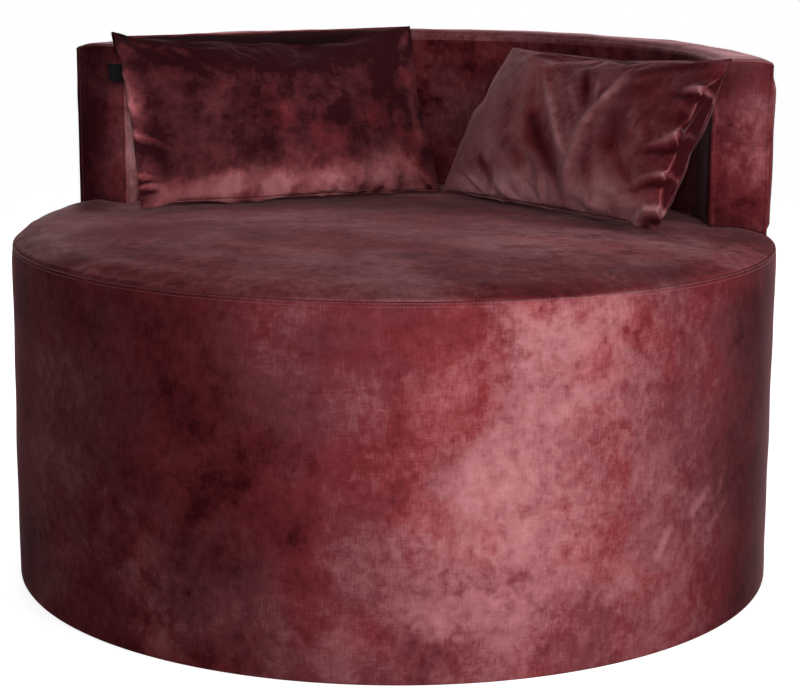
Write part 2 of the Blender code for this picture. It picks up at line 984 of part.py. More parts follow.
def main():
    clear_scene()
    materials = make_materials()
    bolt_hole_radius = back_bolt_radius + back_bolt_clearance
    bolt_hole_low = deck_bottom - cut_overrun
    bolt_holes = rods(
        "bolt_holes", back_bolt_places(), bolt_hole_radius, bolt_hole_low, top_rib_low
    )
    nail_hole_radius = glide_nail_radius + fit_gap
    nail_hole_top = bottom_ring_top + cut_overrun
    nail_holes = rods("nail_holes", glide_places(), nail_hole_radius, 0.0, nail_hole_top)

    make_bottom_ring(materials, nail_holes)
    make_deck_ring(materials, bolt_holes)
    make_base_posts(materials)
    make_side_board(materials)
    make_side_foam(materials)
    make_base_cover(materials, nail_holes)
    make_dust_cover(materials)
    make_glides(materials)

    make_straps(materials)
    make_deck_cloth(materials)
    make_back_rail(materials, bolt_holes)
    make_seat_foam(materials)
    make_seat_wadding(materials, bolt_holes)
    make_seat_cover(materials, bolt_holes)

    make_back_ribs(materials, bolt_holes)
    make_back_posts(materials)
    make_back_boards(materials)
    make_back_fillings(materials)
    make_back_panels(materials)
    make_back_top_cover(materials)
    make_back_end_covers(materials)
    make_back_bolts(materials)

    make_cushion("left", left_cushion_turn, left_cushion_lean, 1, materials)
    make_cushion("right", right_cushion_turn, right_cushion_lean, -1, materials)


main()
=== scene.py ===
"""Looks of the round lounge chair: marbled velvet over the drum and back, two filled cushions,
their zips and a bare tab.

Metres, in the frame of the CAD. Angles round the chair run from the middle of the back (+Y)
towards +X. Only the tables of marks and folds are in millimetres.
"""

import math

import bmesh
import bpy
import numpy as np
from mathutils import Matrix, Vector


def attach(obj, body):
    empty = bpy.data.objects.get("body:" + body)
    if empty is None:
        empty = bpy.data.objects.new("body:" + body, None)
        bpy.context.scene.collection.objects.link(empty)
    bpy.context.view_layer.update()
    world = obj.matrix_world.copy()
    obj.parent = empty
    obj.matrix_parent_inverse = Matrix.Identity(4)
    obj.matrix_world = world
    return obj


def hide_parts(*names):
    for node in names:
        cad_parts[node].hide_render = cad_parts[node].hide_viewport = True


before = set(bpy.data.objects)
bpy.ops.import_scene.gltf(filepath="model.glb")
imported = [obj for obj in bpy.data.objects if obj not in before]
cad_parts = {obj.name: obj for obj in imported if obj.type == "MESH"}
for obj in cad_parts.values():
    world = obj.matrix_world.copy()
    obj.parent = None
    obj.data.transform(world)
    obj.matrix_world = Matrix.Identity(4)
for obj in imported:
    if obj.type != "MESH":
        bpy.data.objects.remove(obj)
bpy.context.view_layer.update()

# Sizes that the CAD has too

CHAIR_RADIUS = 0.550
SEAM_RADIUS = 0.5463
SEAM_HEIGHT = 0.487
SEAT_CROWN = 0.022
BACK_OUTER = 0.542
BACK_THICKNESS = 0.086
BACK_INNER = BACK_OUTER - BACK_THICKNESS
BACK_HALF_ANGLE = math.radians(79.0)
RIM_HEIGHT = 0.743
RIM_SINK = 0.0125
RIM_CROWN = 0.015
CUSHION_WIDTH = 0.490
CUSHION_HEIGHT = 0.285
CUSHION_DEPTH = 0.115
CLOTH = 0.0018
DUST_RADIUS = 0.495
DUST_LOW = 0.0027
ZIP_LENGTH = 0.360
ZIP_TAPE_LOW = 0.0185

# Sizes of the looks alone

NEAR_STITCHES = 0.0016
FAR_STITCHES = 0.0066
LEAST_GAP = 0.0004
COVER_FILL = 0.95
CUSHION_FILL = 0.6
SHOULDER = 0.017
SHOULDER_IN = 0.0037
TAB_EDGE = -0.2338
TAB_LOW = 0.2052
TAB_TALL = 0.0290
TAB_WIDE = 0.0225
LIP_GAP = 0.0047
LIP_LOW = 0.0116
LIP_PROFILE = ((0.0038, 0.0124), (0.0036, 0.0196), (0.0, 0.0208))
SLOT_END = 0.1815
SLOT_FADE = 0.2050
MEETING_PLANE = 0.0140
MEETING_CLEAR = 0.0006
SEAT_CLEAR = 0.0016
BACK_CLEAR = 0.0052
FLAT_WIDTH = 0.500
FLAT_HEIGHT = 0.305
FLOOR_LOW = -0.0004
FLOOR_GLOW = 0.83
WORLD_DIM = 0.085
ROUND = 2 * math.pi


def make_camera():
    """The camera that a fit to the drum's rims and the back gives."""
    camera = bpy.data.objects.new("camera", bpy.data.cameras.new("camera"))
    bpy.context.scene.collection.objects.link(camera)
    right = Vector((0.973989, 0.226509, 0.006244))
    up = Vector((-0.052154, 0.197277, 0.97896))
    backwards = Vector((0.220512, -0.953821, 0.203959))
    turn = Matrix((right, up, backwards)).transposed().to_4x4()
    camera.matrix_world = Matrix.Translation((0.65838, -2.80704, 0.91586)) @ turn
    camera.data.lens = 89.44
    camera.data.sensor_width = 36.0
    camera.data.clip_start = 0.05
    camera.data.clip_end = 60.0
    bpy.context.scene.camera = camera


# Curves and fields


def smooth(low, high, value):
    share = np.clip((value - low) / (high - low), 0.0, 1.0)
    return share * share * (3 - 2 * share)


def hump(off, wide):
    """1 where off is 0, falling to almost 0 at twice the half width."""
    return np.exp(-((off / wide) ** 2))


def waves(seed, scale, count=24):
    """A smooth random field of about unit size, with lumps of about this scale."""
    random = np.random.default_rng(seed)
    ways = random.normal(size=(count, 3))
    ways /= np.linalg.norm(ways, axis=1)[:, None]
    ways *= (2 * np.pi / (scale * random.uniform(0.7, 1.5, count)))[:, None]
    phases = random.uniform(0, 2 * np.pi, count)

    def field(points):
        return np.cos(points @ ways.T + phases).sum(-1) * math.sqrt(2 / count)

    return field


def seat_surface(radius):
    """The CAD's crown, with the fuller roll that the cloth makes just inside its seam."""
    share = radius / SEAM_RADIUS
    roll = 0.0042 * hump(share - 0.945, 0.055) * (1 - share**24)
    return SEAM_HEIGHT + SEAT_CROWN * (1 - share**6) + roll


def rim_seam(angle):
    """The height of the seams along the back's top, a little uneven as in the photograph."""
    share = angle / BACK_HALF_ANGLE
    wander = -0.0009 - 0.0018 * share + 0.0064 * share**2
    return RIM_HEIGHT - RIM_SINK * np.abs(share) ** 2.2 + wander


def rim_crown(angle, share):
    """How far the top stands over its seams. share runs from the inner seam to the outer one."""
    across = 1 - np.abs(2 * share - 1) ** 4
    return RIM_CROWN * (1 - 0.6 * (angle / BACK_HALF_ANGLE) ** 2) * across


def welt_profile(distance):
    """How far the doubled cloth of a topstitched seam stands out, at a distance from the seam."""
    rise = smooth(0.0, NEAR_STITCHES, distance) * (1 - smooth(0.0052, FAR_STITCHES, distance))
    groove = hump(distance - FAR_STITCHES, 0.0009)
    valley = hump(distance, 0.0011)
    return 0.00075 * rise - 0.00035 * groove - 0.0010 * valley


# Mesh helpers


def round_points(radius, angle, height):
    """A grid of points round the chair, from values that spread over its rows and columns."""
    parts = (radius * np.sin(angle), radius * np.cos(angle), height)
    return np.stack(np.broadcast_arrays(*parts), axis=-1)


def new_piece(name, verts, faces, material):
    mesh = bpy.data.meshes.new(name)
    mesh.from_pydata(np.asarray(verts, float).tolist(), [], faces)
    mesh.update()
    return link_piece(name, mesh, material)


def link_piece(name, mesh, material):
    mesh.shade_smooth()
    mesh.materials.append(material)
    piece = bpy.data.objects.new(name, mesh)
    bpy.context.scene.collection.objects.link(piece)
    return piece


def grid_faces(rows, columns, wrap=False):
    """Faces over rows x columns points, joined round at the end where wrap is set."""
    faces = []
    for row in range(rows - 1):
        for column in range(columns if wrap else columns - 1):
            following = (column + 1) % columns
            low, high = row * columns, (row + 1) * columns
            faces.append((low + column, low + following, high + following, high + column))
    return faces


def tube_faces(base, rings, corners, turned=False):
    """Faces of a closed tube over rings of points, the first of them at base."""
    faces = []
    for number in range(rings - 1):
        for corner in range(corners):
            following = (corner + 1) % corners
            low, high = base + number * corners, base + (number + 1) * corners
            face = (low + corner, low + following, high + following, high + corner)
            faces.append(face[:1] + face[:0:-1] if turned else face)
    first = tuple(range(base, base + corners))
    last = tuple(corner + (rings - 1) * corners for corner in first)
    return faces + ([first, last[::-1]] if turned else [first[::-1], last])


def close_middle(mesh):
    """Joins the first row of a disc, which is all one point."""
    bm = bmesh.new()
    bm.from_mesh(mesh)
    bmesh.ops.remove_doubles(bm, verts=bm.verts, dist=1e-6)
    bm.to_mesh(mesh)
    bm.free()
    mesh.shade_smooth()


def cloth_piece(name, points, material, wrap=False, thickness=CLOTH, flip=False):
    """A sheet over a grid of points, given its thickness on the inner side."""
    faces = grid_faces(*points.shape[:2], wrap)
    if flip:
        faces = [face[::-1] for face in faces]
    piece = new_piece(name, points.reshape(-1, 3), faces, material)
    if np.ptp(points[0], axis=0).max() == 0:
        close_middle(piece.data)
    solid = piece.modifiers.new("thickness", "SOLIDIFY")
    solid.thickness = thickness
    solid.offset = -1.0
    return piece


def normals_of(points):
    """Unit normals of a grid of points."""
    normals = np.cross(np.gradient(points, axis=1), np.gradient(points, axis=0))
    lengths = np.linalg.norm(normals, axis=-1, keepdims=True)
    return normals / np.maximum(lengths, 1e-12)


def belongs(piece, body, slot, *nodes, fill=None, place=None):
    """Gives a piece its place and body, and hides the CAD nodes that it stands for. slot is not
    used, and fill is not used.
    """
    if place is not None:
        piece.matrix_world = place
    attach(piece, body)
    if nodes:
        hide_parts(*nodes)


def stitch_row(name, path, outwards, material, pitch=0.0042, length=0.0031, radius=0.00032):
    """A row of short threads along a path. Each thread dips into the cloth at its two ends."""
    outwards = np.broadcast_to(outwards, path.shape)
    steps = np.linalg.norm(np.diff(path, axis=0), axis=1)
    along = np.concatenate([[0.0], np.cumsum(steps)])
    count = int(along[-1] / pitch)
    sides, stations = 5, 5
    turns = [ROUND * corner / sides for corner in range(sides)]
    verts, faces = [], []

    def between(places, values):
        return np.stack([np.interp(places, along, values[:, axis]) for axis in range(3)], axis=1)

    for number in range(count):
        start = (number + 0.5) * along[-1] / count - length / 2
        places = start + np.linspace(0, length, stations)
        centre = between(places, path)
        out = between(places, outwards)
        out /= np.linalg.norm(out, axis=1)[:, None]
        way = centre[-1] - centre[0]
        way /= np.linalg.norm(way)
        side = np.cross(way, out)
        rise = np.sin(np.linspace(0, np.pi, stations)) * 1.6 - 0.7
        centre = centre + out * (rise * radius)[:, None]
        faces += tube_faces(len(verts), stations, sides, turned=True)
        for station in range(stations):
            wide = radius * (0.55 if station in (0, stations - 1) else 1.0)
            for turn in turns:
                ray = math.cos(turn) * side[station] + math.sin(turn) * out[station]
                verts.append(centre[station] + wide * ray)
    return new_piece(name, np.array(verts), faces, material)


# Materials


class Graph:
    """Short calls for the nodes of a material or of the world."""

    def __init__(self, owner):
        owner.use_nodes = True
        self.owner = owner
        self.tree = owner.node_tree

    def add(self, kind, inputs=(), **settings):
        node = self.tree.nodes.new(kind)
        for key, value in settings.items():
            setattr(node, key, value)
        for key, value in dict(inputs).items():
            self.put(node, key, value)
        return node

    def put(self, node, key, value):
        if isinstance(value, bpy.types.NodeSocket):
            self.tree.links.new(value, node.inputs[key])
        else:
            node.inputs[key].default_value = value

    def maths(self, operation, first, second=0.0, third=0.0):
        inputs = {0: first, 1: second, 2: third}
        return self.add("ShaderNodeMath", inputs, operation=operation).outputs[0]

    def times(self, first, second):
        return self.maths("MULTIPLY", first, second)

    def plus(self, tone, value, amount, middle=0.0):
        """tone + amount x (value - middle)"""
        if middle:
            value = self.maths("SUBTRACT", value, middle)
        return self.maths("MULTIPLY_ADD", value, amount, tone)

    def spot(self, output="Object"):
        return self.add("ShaderNodeTexCoord").outputs[output]

    def place(self, scale=(1.0, 1.0, 1.0), source=None, shift=(0.0, 0.0, 0.0)):
        inputs = {"Vector": source or self.spot(), "Scale": scale, "Location": shift}
        return self.add("ShaderNodeMapping", inputs).outputs[0]

    def parts(self, vector):
        return self.add("ShaderNodeSeparateXYZ", {0: vector}).outputs

    def flat(self, x, y):
        return self.add("ShaderNodeCombineXYZ", {"X": x, "Y": y, "Z": 0.0}).outputs[0]

    def vector(self, operation, output, inputs):
        return self.add("ShaderNodeVectorMath", inputs, operation=operation).outputs[output]

    def noise(self, vector, scale, detail=4.0, rough=0.55, distortion=0.0):
        inputs = {"Vector": vector, "Scale": scale, "Detail": detail}
        inputs |= {"Roughness": rough, "Distortion": distortion}
        return self.add("ShaderNodeTexNoise", inputs).outputs["Fac"]

    def spread(self, value, low, high, to_low=0.0, to_high=1.0):
        inputs = {"Value": value, "From Min": low, "From Max": high}
        inputs |= {"To Min": to_low, "To Max": to_high}
        return self.add("ShaderNodeMapRange", inputs, interpolation_type="SMOOTHSTEP").outputs[0]

    def ramp(self, value, *stops):
        node = self.add("ShaderNodeValToRGB", {"Fac": value})
        elements = node.color_ramp.elements
        while len(elements) < len(stops):
            elements.new(0.5)
        for element, (place, colour) in zip(elements, stops):
            element.position = place
            element.color = (*colour, 1.0)
        return node.outputs["Color"]

    def mix(self, share, first, second):
        inputs = {0: share, 6: first, 7: second}
        return self.add("ShaderNodeMix", inputs, data_type="RGBA").outputs[2]

    def stroke(self, vector, start, end, wide, ends=(1.0, 1.0)):
        """1 on the line between two points, falling smoothly to 0 at twice the half width.
        It fades towards an end whose share is 0, and towards both where both are."""
        start, end = Vector((*start, 0.0)), Vector((*end, 0.0))
        way = end - start
        off = self.vector("SUBTRACT", 0, {0: vector, 1: start})
        along = self.vector("DOT_PRODUCT", "Value", {0: off, 1: way})
        inputs = {0: along, 1: way.dot(way)}
        share = self.add("ShaderNodeMath", inputs, operation="DIVIDE", use_clamp=True).outputs[0]
        foot = self.vector("SCALE", 0, {0: way, "Scale": share})
        gap = self.vector("DISTANCE", "Value", {0: off, 1: foot})
        mark = self.spread(gap, 0.0, 2 * wide, 1.0, 0.0)
        if ends == (1.0, 1.0):
            return mark
        if ends == (0.0, 0.0):
            fade = self.times(self.times(share, self.maths("SUBTRACT", 1.0, share)), 4.0)
        else:
            fade = self.plus(ends[0], share, ends[1] - ends[0])
        return self.times(mark, fade)

    def bump(self, height, strength, distance):
        inputs = {"Height": height, "Strength": strength, "Distance": distance}
        return self.add("ShaderNodeBump", inputs).outputs[0]

    def seen_ray(self):
        """1 for a ray of the camera, and for one that gloss or glass sends on, and else 0."""
        rays = self.add("ShaderNodeLightPath").outputs
        sent_on = self.maths("MAXIMUM", rays["Is Glossy Ray"], rays["Is Transmission Ray"])
        return self.maths("MAXIMUM", rays["Is Camera Ray"], sent_on)

    def glow(self, kind, strength):
        inputs = {"Color": (1.0, 1.0, 1.0, 1.0), "Strength": strength}
        return self.add(kind, inputs).outputs[0]

    def finish(self, colour, roughness, normal=None, **sockets):
        shader = self.tree.nodes["Principled BSDF"]
        self.put(shader, "Base Color", colour)
        self.put(shader, "Roughness", roughness)
        if normal is not None:
            self.put(shader, "Normal", normal)
        for key, value in sockets.items():
            shader.inputs[key.replace("_", " ")].default_value = value
        return self.owner


def new_graph(name):
    return Graph(bpy.data.materials.new(name))


# The lightest stops serve the strongest painted highlights that the marks add.
LIGHTEST = 1.45
RED = (
    (0.0, (0.038, 0.0040, 0.0056)),
    (0.5, (0.145, 0.0215, 0.0255)),
    (0.8, (0.245, 0.0590, 0.0650)),
    (1.15, (0.360, 0.1100, 0.1180)),
    (1.45, (0.480, 0.1750, 0.1850)),
)
MAUVE = (
    (0.0, (0.034, 0.0060, 0.0085)),
    (0.5, (0.132, 0.0310, 0.0365)),
    (0.8, (0.225, 0.0760, 0.0830)),
    (1.15, (0.325, 0.1280, 0.1360)),
    (1.45, (0.430, 0.1950, 0.2070)),
)


# Each noise's scale, detail, roughness and distortion
CLOUDS = (3.4, 3.0, 0.50, 0.25)
BLOTS = (13.0, 5.0, 0.60, 0.30)
MOTTLE = (28.0, 4.0, 0.55, 0.20)
SPECKS = (70.0, 4.0, 0.62, 0.20)
HUES = (6.0, 4.0, 0.6, 0.3)
PILE = (900.0, 2.0, 0.5)
FIELD_WEIGHTS = (0.85, 0.72, 0.60)
MIDDLE_TONE = 0.48
STREAK_SCALE = (430.0, 46.0, 1.0)
THREAD_SCALE = (60.0, 520.0, 1.0)
HUE_SHIFT = (3.1, 1.7, 5.3)
HUE_SOFTNESS = 0.11


def pile_plane(graph, grain):
    """Places in the plane that the pile's rows run in: round the chair, across it or up."""
    parts = graph.parts(graph.spot())
    if grain == "round":
        angle = graph.maths("ARCTAN2", parts["X"], graph.times(parts["Y"], -1.0))
        return graph.flat(graph.times(angle, CHAIR_RADIUS), parts["Z"])
    return graph.flat(parts["X"], parts["Y"] if grain == "across" else parts["Z"])


def velvet(
    name,
    grain,
    sheen,
    depth=1.0,
    lift=0.0,
    marks=(),
    red=0.51,
    blush=0.18,
    shift=(0.0, 0.0, 0.0),
    facing_shade=(0.0, 0.0, 0.0, 0.0),
):
    """Marbled velvet. grain is how the pile's rows run: round, across or up. depth is how strong
    the marbling is, lift how much lighter it all is, red how much of it is red and not mauve, and
    blush how much more mauve it is where it is lighter. lift is painted light and shade: each part
    of the chair gets a lighter or darker copy of the velvet. marks are painted light and shade,
    with a few real strokes of the pile on the drum and the right cushion, as (start, end, half
    width, strength) in the plane of the grain, and shift moves the marbling. The four facing
    weights paint light and shade by which way the cloth faces: how much lighter it looks where it
    faces right, front and up, and either side."""
    graph = new_graph(name)
    weave = pile_plane(graph, grain)
    moved = graph.place(shift=shift)
    clouds = graph.noise(moved, *CLOUDS)
    blots = graph.noise(moved, *BLOTS)
    mottle = graph.noise(moved, *MOTTLE)
    specks = graph.noise(moved, *SPECKS)
    streaks = graph.noise(graph.place(STREAK_SCALE, weave), 1.0, 3.0, 0.6)
    threads = graph.noise(graph.place(THREAD_SCALE, weave), 1.0, 2.0, 0.5)
    pile = graph.noise(weave, *PILE)

    weights = [share * depth for share in FIELD_WEIGHTS]
    # lift makes the whole part lighter or darker: painted light and shade.
    tone = MIDDLE_TONE + lift - 0.5 * sum(weights)
    for field, weight in zip((clouds, blots, specks), weights):
        tone = graph.plus(tone, field, weight)
    in_darks = graph.spread(tone, 0.15, 0.70, 1.0, 0.0)
    swing = graph.times(graph.maths("SUBTRACT", mottle, 0.5), 0.75 * depth)
    tone = graph.plus(tone, swing, in_darks)
    # Painted light and shade by which way the cloth faces, from its normal in the object's own
    # frame.
    if any(facing_shade):
        facing = graph.parts(graph.spot("Normal"))
        tone = graph.plus(tone, facing["X"], facing_shade[0])
        tone = graph.plus(tone, facing["Y"], -facing_shade[1])
        tone = graph.plus(tone, facing["Z"], facing_shade[2])
        tone = graph.plus(tone, graph.maths("ABSOLUTE", facing["X"]), facing_shade[3])
    ragged = graph.plus(graph.plus(0.15, blots, 1.0), specks, 0.7)
    # Painted light and shade along the marks, with a few real strokes of the pile, made ragged by
    # the blots and specks.
    for start, end, wide, strength, *ends in marks:
        mark = graph.stroke(weave, start, end, wide, *ends)
        tone = graph.plus(tone, graph.times(mark, ragged), strength)
    tone = graph.plus(tone, streaks, 0.34, middle=0.5)
    tone = graph.plus(tone, threads, 0.22, middle=0.5)

    shade = graph.times(tone, 1 / LIGHTEST)
    reds, mauves = (
        graph.ramp(shade, *((place / LIGHTEST, colour) for place, colour in stops))
        for stops in (RED, MAUVE)
    )
    hue = graph.noise(graph.place(source=moved, shift=HUE_SHIFT), *HUES)
    hue = graph.plus(hue, tone, blush, middle=0.55)
    return graph.finish(
        graph.mix(graph.spread(hue, red - HUE_SOFTNESS, red + HUE_SOFTNESS), reds, mauves),
        graph.spread(tone, 0.0, 1.0, 0.82, 0.68),
        graph.bump(graph.plus(pile, streaks, 0.6), 0.22, 0.0007),
        Specular_IOR_Level=0.02,
        Specular_Tint=(1.0, 0.55, 0.58, 1.0),
        Sheen_Weight=sheen,
        Sheen_Roughness=0.30,
        Sheen_Tint=(1.0, 0.55, 0.60, 1.0),
    )


def thread_material():
    graph = new_graph("wine_thread")
    twist = graph.noise(graph.place((900.0, 900.0, 900.0)), 1.0, 2.0)
    colour = graph.ramp(twist, (0.3, (0.13, 0.022, 0.030)), (0.7, (0.26, 0.060, 0.070)))
    return graph.finish(colour, 0.45, graph.bump(twist, 0.3, 0.0002), Sheen_Weight=0.3)


def woven(name, dark, light, pitch, roughness=0.85, sheen=0.2, specular=0.3):
    """A plain weave of this pitch over two of the object's axes."""
    graph = new_graph(name)
    spot = graph.place()
    step = ROUND / pitch
    parts = graph.parts(spot)
    across = graph.maths("SINE", graph.times(parts["X"], step))
    along = graph.maths("SINE", graph.times(graph.maths("ADD", parts["Y"], parts["Z"]), step))
    weave = graph.times(across, along)
    tone = graph.plus(graph.noise(spot, 40.0, 5.0, 0.6), weave, 0.25)
    colour = graph.ramp(tone, (0.25, dark), (0.80, light))
    normal = graph.bump(weave, 0.4, pitch * 0.2)
    sockets = {"Sheen_Weight": sheen, "Specular_IOR_Level": specular}
    return graph.finish(colour, roughness, normal, **sockets)


def wood(name, dark, light, ring_scale, stretch):
    graph = new_graph(name)
    spot = graph.place(stretch)
    wander = graph.noise(spot, 2.0, 4.0, 0.55, 0.5)
    rings = graph.plus(graph.times(graph.parts(spot)["X"], ring_scale), wander, 9.0)
    bands = graph.maths("FRACT", rings)
    pores = graph.noise(graph.place(tuple(part * 6 for part in stretch)), 30.0, 3.0, 0.6)
    tone = graph.plus(graph.times(bands, 0.5), pores, 0.55)
    colour = graph.ramp(tone, (0.15, dark), (0.75, light))
    dry = graph.spread(pores, 0.3, 0.7, 0.85, 0.65)
    return graph.finish(colour, dry, graph.bump(pores, 0.25, 0.0006))


def foam_material(name, dark, light, cell):
    graph = new_graph(name)
    inputs = {"Vector": graph.place(), "Scale": 1 / cell}
    cells = graph.add("ShaderNodeTexVoronoi", inputs).outputs["Distance"]
    lumps = graph.noise(graph.place(), 9.0, 5.0, 0.6)
    tone = graph.plus(graph.times(lumps, 0.7), cells, 0.5)
    colour = graph.ramp(tone, (0.2, dark), (0.9, light))
    return graph.finish(colour, 0.95, graph.bump(cells, 0.5, cell * 0.4), Sheen_Weight=0.1)


def metal(name, colour, roughness):
    graph = new_graph(name)
    brush = graph.noise(graph.place((60.0, 60.0, 900.0)), 1.0, 3.0)
    shade = graph.ramp(brush, (0.3, tuple(0.8 * part for part in colour)), (0.7, colour))
    wear = graph.noise(graph.place(), 70.0, 4.0)
    wear = graph.spread(wear, 0.35, 0.7, roughness, roughness + 0.2)
    return graph.finish(shade, wear, graph.bump(brush, 0.15, 0.0001), Metallic=1.0)


def plastic_material():
    graph = new_graph("glide_plastic")
    grain = graph.noise(graph.place(), 900.0, 2.0)
    scuffs = graph.noise(graph.place((30.0, 30.0, 200.0)), 1.0, 4.0)
    colour = graph.ramp(scuffs, (0.3, (0.018, 0.018, 0.019)), (0.8, (0.055, 0.053, 0.050)))
    wear = graph.spread(scuffs, 0.3, 0.7, 0.42, 0.6)
    return graph.finish(colour, wear, graph.bump(grain, 0.2, 0.0002))


# Painted light and shade on the velvet, a few strokes of its pile, and where the cushions are
# folded


def in_metres(rows, unit=1):
    """Marks or folds from rows in millimetres: start, end, half width, strength or height, and
    for some the share at each end. A height's unit is 1000, and a strength's is 1."""
    return tuple(
        ((a / 1000, b / 1000), (c / 1000, d / 1000), wide / 1000, strength / unit, *ends)
        for a, b, c, d, wide, strength, *ends in rows
    )


WHOLE = (1.0, 1.0)
# Painted light and shade on the drum: lighter in a broad band right of its middle, up to its top,
# and darker towards both sides and in places along the top, with a few smaller lighter and darker
# patches. The five narrow strokes at the end are finger marks in the pile.
DRUM_SHADE_AND_PILE_STROKES = in_metres(
    (
        (-545, 60, -545, 420, 55, -0.34),
        (-520, 440, -120, 465, 45, -0.19),
        (-235, 150, -190, 50, 45, 0.24),
        (-30, 420, 0, 120, 55, -0.08),
        (810, 60, 810, 420, 40, -0.3),
        (1020, 60, 1020, 420, 110, -0.16),
        (240, 100, 350, 470, 95, 0.32),
        (300, 455, 410, 450, 45, 0.26),
        (70, 455, 150, 460, 50, -0.24),
        (730, 60, 720, 430, 90, -0.42),
        (-330, 350, -160, 330, 80, -0.12),
        (-130, 400, -60, 180, 60, -0.12),
        (492, 135, 512, 166, 6, 0.24),
        (560, 180, 592, 204, 6.5, 0.28),
        (566, 160, 604, 188, 6, 0.22),
        (618, 196, 632, 222, 6, 0.24),
        (600, 150, 640, 180, 6, 0.2),
    )
)
# Painted shade on the seat near the cushions, and a little at the left front and in the middle;
# painted light at the right front.
SEAT_LIGHT_AND_SHADE = in_metres(
    (
        (-280, 80, 80, 150, 60, -0.36),
        (-300, -190, -120, -230, 70, -0.1),
        (-80, -20, 100, -60, 60, -0.08),
        (260, -175, 430, -100, 75, 0.52),
    )
)
# Painted light on the inner wall beside the left cushion, and painted shadow on the inner wall
# beside the right cushion.
INSIDE_LIGHT_AND_SHADE = in_metres(
    (
        (-986, 500, -986, 740, 18, 0.85),
        (1010, 500, 1010, 700, 50, -0.9),
    )
)
# Painted shade over the left end panel and along the top of the right one, and painted light in the
# middle of the right one.
PANEL_LIGHT_AND_SHADE = in_metres(
    (
        (-520, 500, -500, 740, 60, -0.46),
        (440, 715, 540, 725, 26, -0.36),
        (495, 630, 510, 590, 28, 0.26),
    )
)
# Painted light and shade on the left cushion: darker along its top and in hollows, lighter along
# the bottom where the cloth turns under, on ridges and along both side edges.
LEFT_LIGHT_AND_SHADE = in_metres(
    (
        (-210, 233, -8, 210, 17.8, -0.26),
        (-212, 157, -200, 60, 14.8, -0.24),
        (85, 131, 112, 82, 14.8, -0.18),
        (198, 226, 158, 161, 13, -0.28),
        (220, 206, 222, 88, 8.9, 0.38),
        (93, 172, 68, 138, 10.4, 0.18),
        (-1, 132, -3, 120, 13.3, 0.2),
        (-120, 157, -115, 135, 13.3, 0.14),
        (-41, 84, -22, 46, 11.8, -0.24),
        (-203, 15, -98, 25, 16, 0.55),
        (-98, 25, -18, 23, 16, 0.5),
        (-18, 23, 62, 25, 16.3, 0.5),
        (62, 25, 150, 40, 18.5, 0.58),
        (150, 40, 218, 26, 16.3, 0.5),
        (171, 74, 200, 52, 11.8, 0.35),
        (-232, 215, -238, 130, 6, 0.3),
    )
)
# Painted light and shade on the right cushion, with some patches of its pile: lighter along the
# bottom where the cloth turns under and on ridges, darker in hollows and at the top right. The last
# six rows paint a thin highlight along the right seam and the shade beside it.
RIGHT_SHADE_AND_PILE_STROKES = in_metres(
    (
        (-191, 225, -204, 182, 11.8, 0.18),
        (-151, 100, -126, 71, 11.8, 0.28),
        (-145, 58, -115, 32, 7.4, -0.5),
        (-92, 88, -48, 60, 11.8, -0.3),
        (-129, 157, -110, 104, 11.8, -0.18),
        (95, 75, 119, 36, 7.4, -0.18),
        (145, 210, 114, 185, 11.8, -0.22),
        (198, 257, 111, 225, 7.4, -0.28),
        (141, 150, 175, 125, 8.9, 0.2),
        (10, 218, 28, 188, 5.9, -0.24),
        (-4, 185, 34, 148, 4.4, 0.24),
        (-226, 14, -196, 20, 16, 0.26),
        (-166, 18, -92, 22, 17.5, 0.52),
        (-68, 26, 24, 26, 17.5, 0.5),
        (80, 24, 125, 24, 16.5, 0.44),
        (131, 50, 195, 27, 16, 0.42),
        (204, 156, 225, 159, 12, -0.26),
        (244.5, 22, 237.2, 85, 1, 0.6),
        (237.2, 85, 229.2, 140, 1, 0.6),
        (229.2, 140, 229.4, 245, 1, 0.6),
        (254, 40, 247, 100, 5.2, -0.5),
        (247, 100, 240.5, 140, 5.2, -0.5),
        (240.5, 140, 240.5, 240, 5.2, -0.5),
    )
)
LEFT_FOLDS = in_metres(
    (
        (-231, 121, -188, 88, 6, 6.6),
        (-229, 103, -196, 80, 7, -7),
        (-234, 168, -212, 138, 5, 3.8),
        (-234, 55, -217, 50, 5, 4.2),
        (-235, 44, -219, 42, 4.5, -5),
        (-231, 37, -202, 33, 4.5, 4),
        (-229, 29, -208, 24, 4.5, -5),
        (-66, 240, -33, 205, 6, 1.8),
        (-56, 243, -20, 204, 6, -2),
        (-13, 241, 6, 195, 7, 1.6),
        (39, 238, 59, 209, 6, 1.4),
        (84, 35, 63, 14, 4.2, -4.2),
        (172, 42, 141, 12, 4.2, -4.4),
        (138, 30, 112, 13, 4.2, -4.2),
        (31, 30, 0, 14, 5, -3.6),
        (-58, 18, -88, 12, 5, -3),
        (205, 42, 232, 16, 4.8, -3.6),
        (148, 190, 203, 262, 15, -4.2),
    ),
    unit=1000,
)
